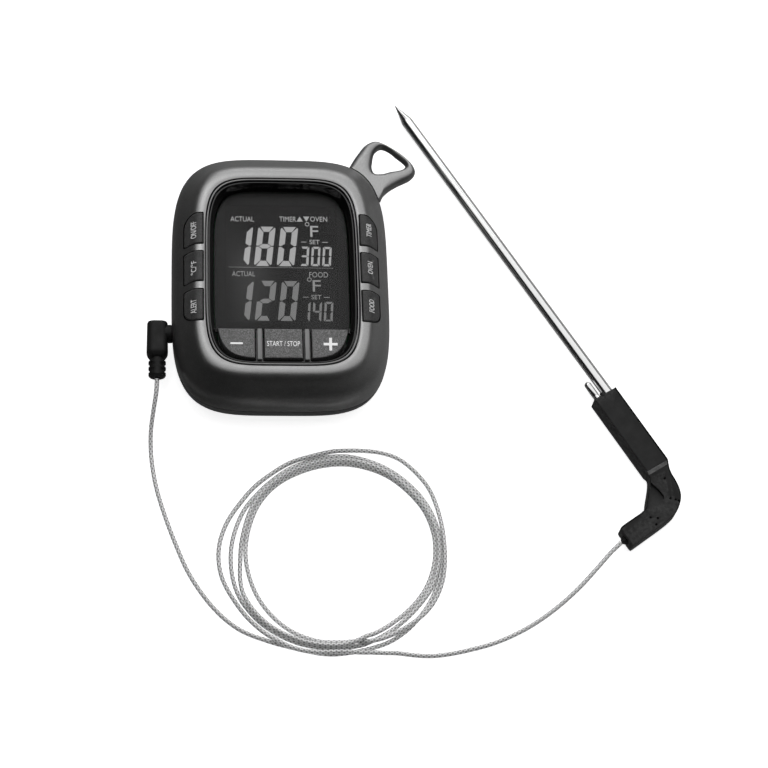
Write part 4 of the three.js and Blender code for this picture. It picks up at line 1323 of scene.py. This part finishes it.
boolean(grip, [rod(2.4, 0, 13, shifted(-0.6, 2.2, 0.5) @ ALONG_X, 40),
               rod(1.6, 0, 9, shifted(-0.6, OVEN_TUBE_OFFSET, 0.0) @ ALONG_X)], solver="EXACT", angle=30)
boolean(grip, [rod(1.6, 0, 8, shifted(CABLE_SEAT_U, -21.4, 0) @ ALONG_MINUS_Y)], solver="EXACT", angle=30)
soften(grip, 0.12, 2, 30, 35)
boss = place(lathe([(0, -1.0), (0.75, -1.0), (0.95, -0.8), (0.95, 0.6), (0, 0.6)], "end_pip", 28),
             PROBE @ shifted(0, -0.7, 2.6) @ ALONG_X)
finish_piece(boss, "rubber", "probe_lead")
finish_piece(grip, "grip", "probe_lead", "probe_grip")
STEP_HIGHLIGHT_SLOT, WEB_SLOT = 1, 2
grip.data.materials.append(MAT["grip_step"])
grip.data.materials.append(MAT["grip_web"])
# Faces on the upper side of the step slope take the lighter material, a painted highlight; the web's flat
# faces take the recess material.
for face in grip.data.polygons:
    u, _, z = (c / MM for c in face.center)
    if 33.9 < u < 35.4 and 0.3 < face.normal.x < 0.95 and z > 2:
        face.material_index = STEP_HIGHLIGHT_SLOT
    elif abs(z) < WEB_HALF_THICKNESS + 0.1 and abs(face.normal.z) > 0.9:
        face.material_index = WEB_SLOT
place(grip, PROBE)

bush = lathe([(0, 0), (1.3, 0), (1.3, 4.8), (1.2, 5.3), (1.0, 5.6), (0, 5.6)], "cable_sleeve", 40)
place(bush, PROBE @ shifted(CABLE_SEAT_U, -21.8, 0) @ ALONG_MINUS_Y)
finish_piece(bush, "rubber", "probe_lead", "cable_bush")

# ---------------------------------------------------------------- CAD pieces that keep their shape
KEPT = {
    "white": "backlight_panel", "zebra": "zebra_strip", "pcb": "main_pcb",
    "silicone": "keymat_lower keymat_left keymat_right",
    "chip": "controller_chip buzzer jack_socket",
    "cell": "battery_1 battery_2",
    "contact": "battery_spring_1 battery_spring_2 battery_contact_1 battery_contact_2",
    "screw": "pcb_screw_1 pcb_screw_2 case_screw_1 case_screw_2 case_screw_3 case_screw_4",
    "sensor": "food_thermistor oven_thermistor",
}
for material, names in KEPT.items():
    for name in names.split():
        paint(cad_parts[name], MAT[material])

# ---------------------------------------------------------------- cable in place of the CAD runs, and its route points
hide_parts("cable_plug_run", "cable_coil", "cable_probe_run")
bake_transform(cable)
cable_route = [tuple(p * MM) for p in cable_centre[::3]]
if len(cable_centre) % 3 != 1:
    cable_route.append(tuple(cable_centre[-1] * MM))


# ---------------------------------------------------------------- studio
def area_light(name, where, at, power, width, height):
    light = bpy.data.lights.new(name, "AREA")
    light.shape = "RECTANGLE"
    light.size = width
    light.size_y = height
    light.energy = power
    obj = link(bpy.data.objects.new(name, light))
    obj.location = where
    direction = Vector(at) - Vector(where)
    obj.rotation_euler = direction.to_track_quat("-Z", "Y").to_euler()


FLOOR_HALF = 3.0
FLOOR_Z = -0.0002
corners = [(x * FLOOR_HALF, y * FLOOR_HALF, FLOOR_Z) for x, y in ((-1, -1), (1, -1), (1, 1), (-1, 1))]
floor = bpy.data.meshes.new("floor")
floor.from_pydata(corners, [], [(0, 1, 2, 3)])
floor_obj = link(bpy.data.objects.new("floor", floor))
floor_material, floor_tree, floor_shader = new_material("white_table")
fill(floor_tree, floor_shader, {
    "Base Color": ramp(floor_tree, noise(floor_tree, coords(floor_tree), 8.0),
                       [(0.3, grey(0.93)), (0.7, grey(0.95))]),
    "Roughness": 0.9, "Specular IOR Level": 0.1,
    "Emission Color": (1.0, 1.0, 1.0, 1.0), "Emission Strength": 0.85,
})
floor.materials.append(floor_material)
floor_obj.visible_glossy = False

area_light("overhead_softbox", (0.325, 0.65, 1.25), (0.325, 0.651, 0.0), 14.8, 2.75, 1.7)
area_light("lens_accent", (-0.17, 0.66, 1.2), (-0.17, 0.661, 0.0), 1.2, 0.22, 0.22)
area_light("back_softbox", (0.2, 1.7, 0.5), (0.0, 0.0, 0.02), 3.2, 1.6, 0.8)
area_light("high_back_softbox", (0.35, 1.9, 1.1), (0.0, 0.0, 0.02), 5.6, 1.7, 0.7)

# The room is a little brighter to the right and behind, and brightest low down, as a white studio is.
world = bpy.data.worlds.new("studio")
world.use_nodes = True
sky = world.node_tree
direction = sky.nodes.new("ShaderNodeTexCoord").outputs["Generated"]
sideways = sky.nodes.new("ShaderNodeVectorMath")
sideways.operation = "DOT_PRODUCT"
sideways.inputs[1].default_value = (0.12, 0.08, 0.0)
sky.links.new(direction, sideways.inputs[0])
dimmest = calculate(sky, "MAXIMUM", calculate(sky, "ADD", sideways.outputs["Value"], 0.115), 0.03)
split = sky.nodes.new("ShaderNodeSeparateXYZ")
sky.links.new(direction, split.inputs[0])
low = remap(sky, split.outputs[2], 0.3, -0.15, 0.4, 1.05)
fill(sky, sky.nodes["Background"], {
    "Strength": calculate(sky, "MULTIPLY", dimmest, low), "Color": (1.0, 1.0, 1.0, 1.0),
})
scene.world = world
scene.view_settings.view_transform = "Standard"
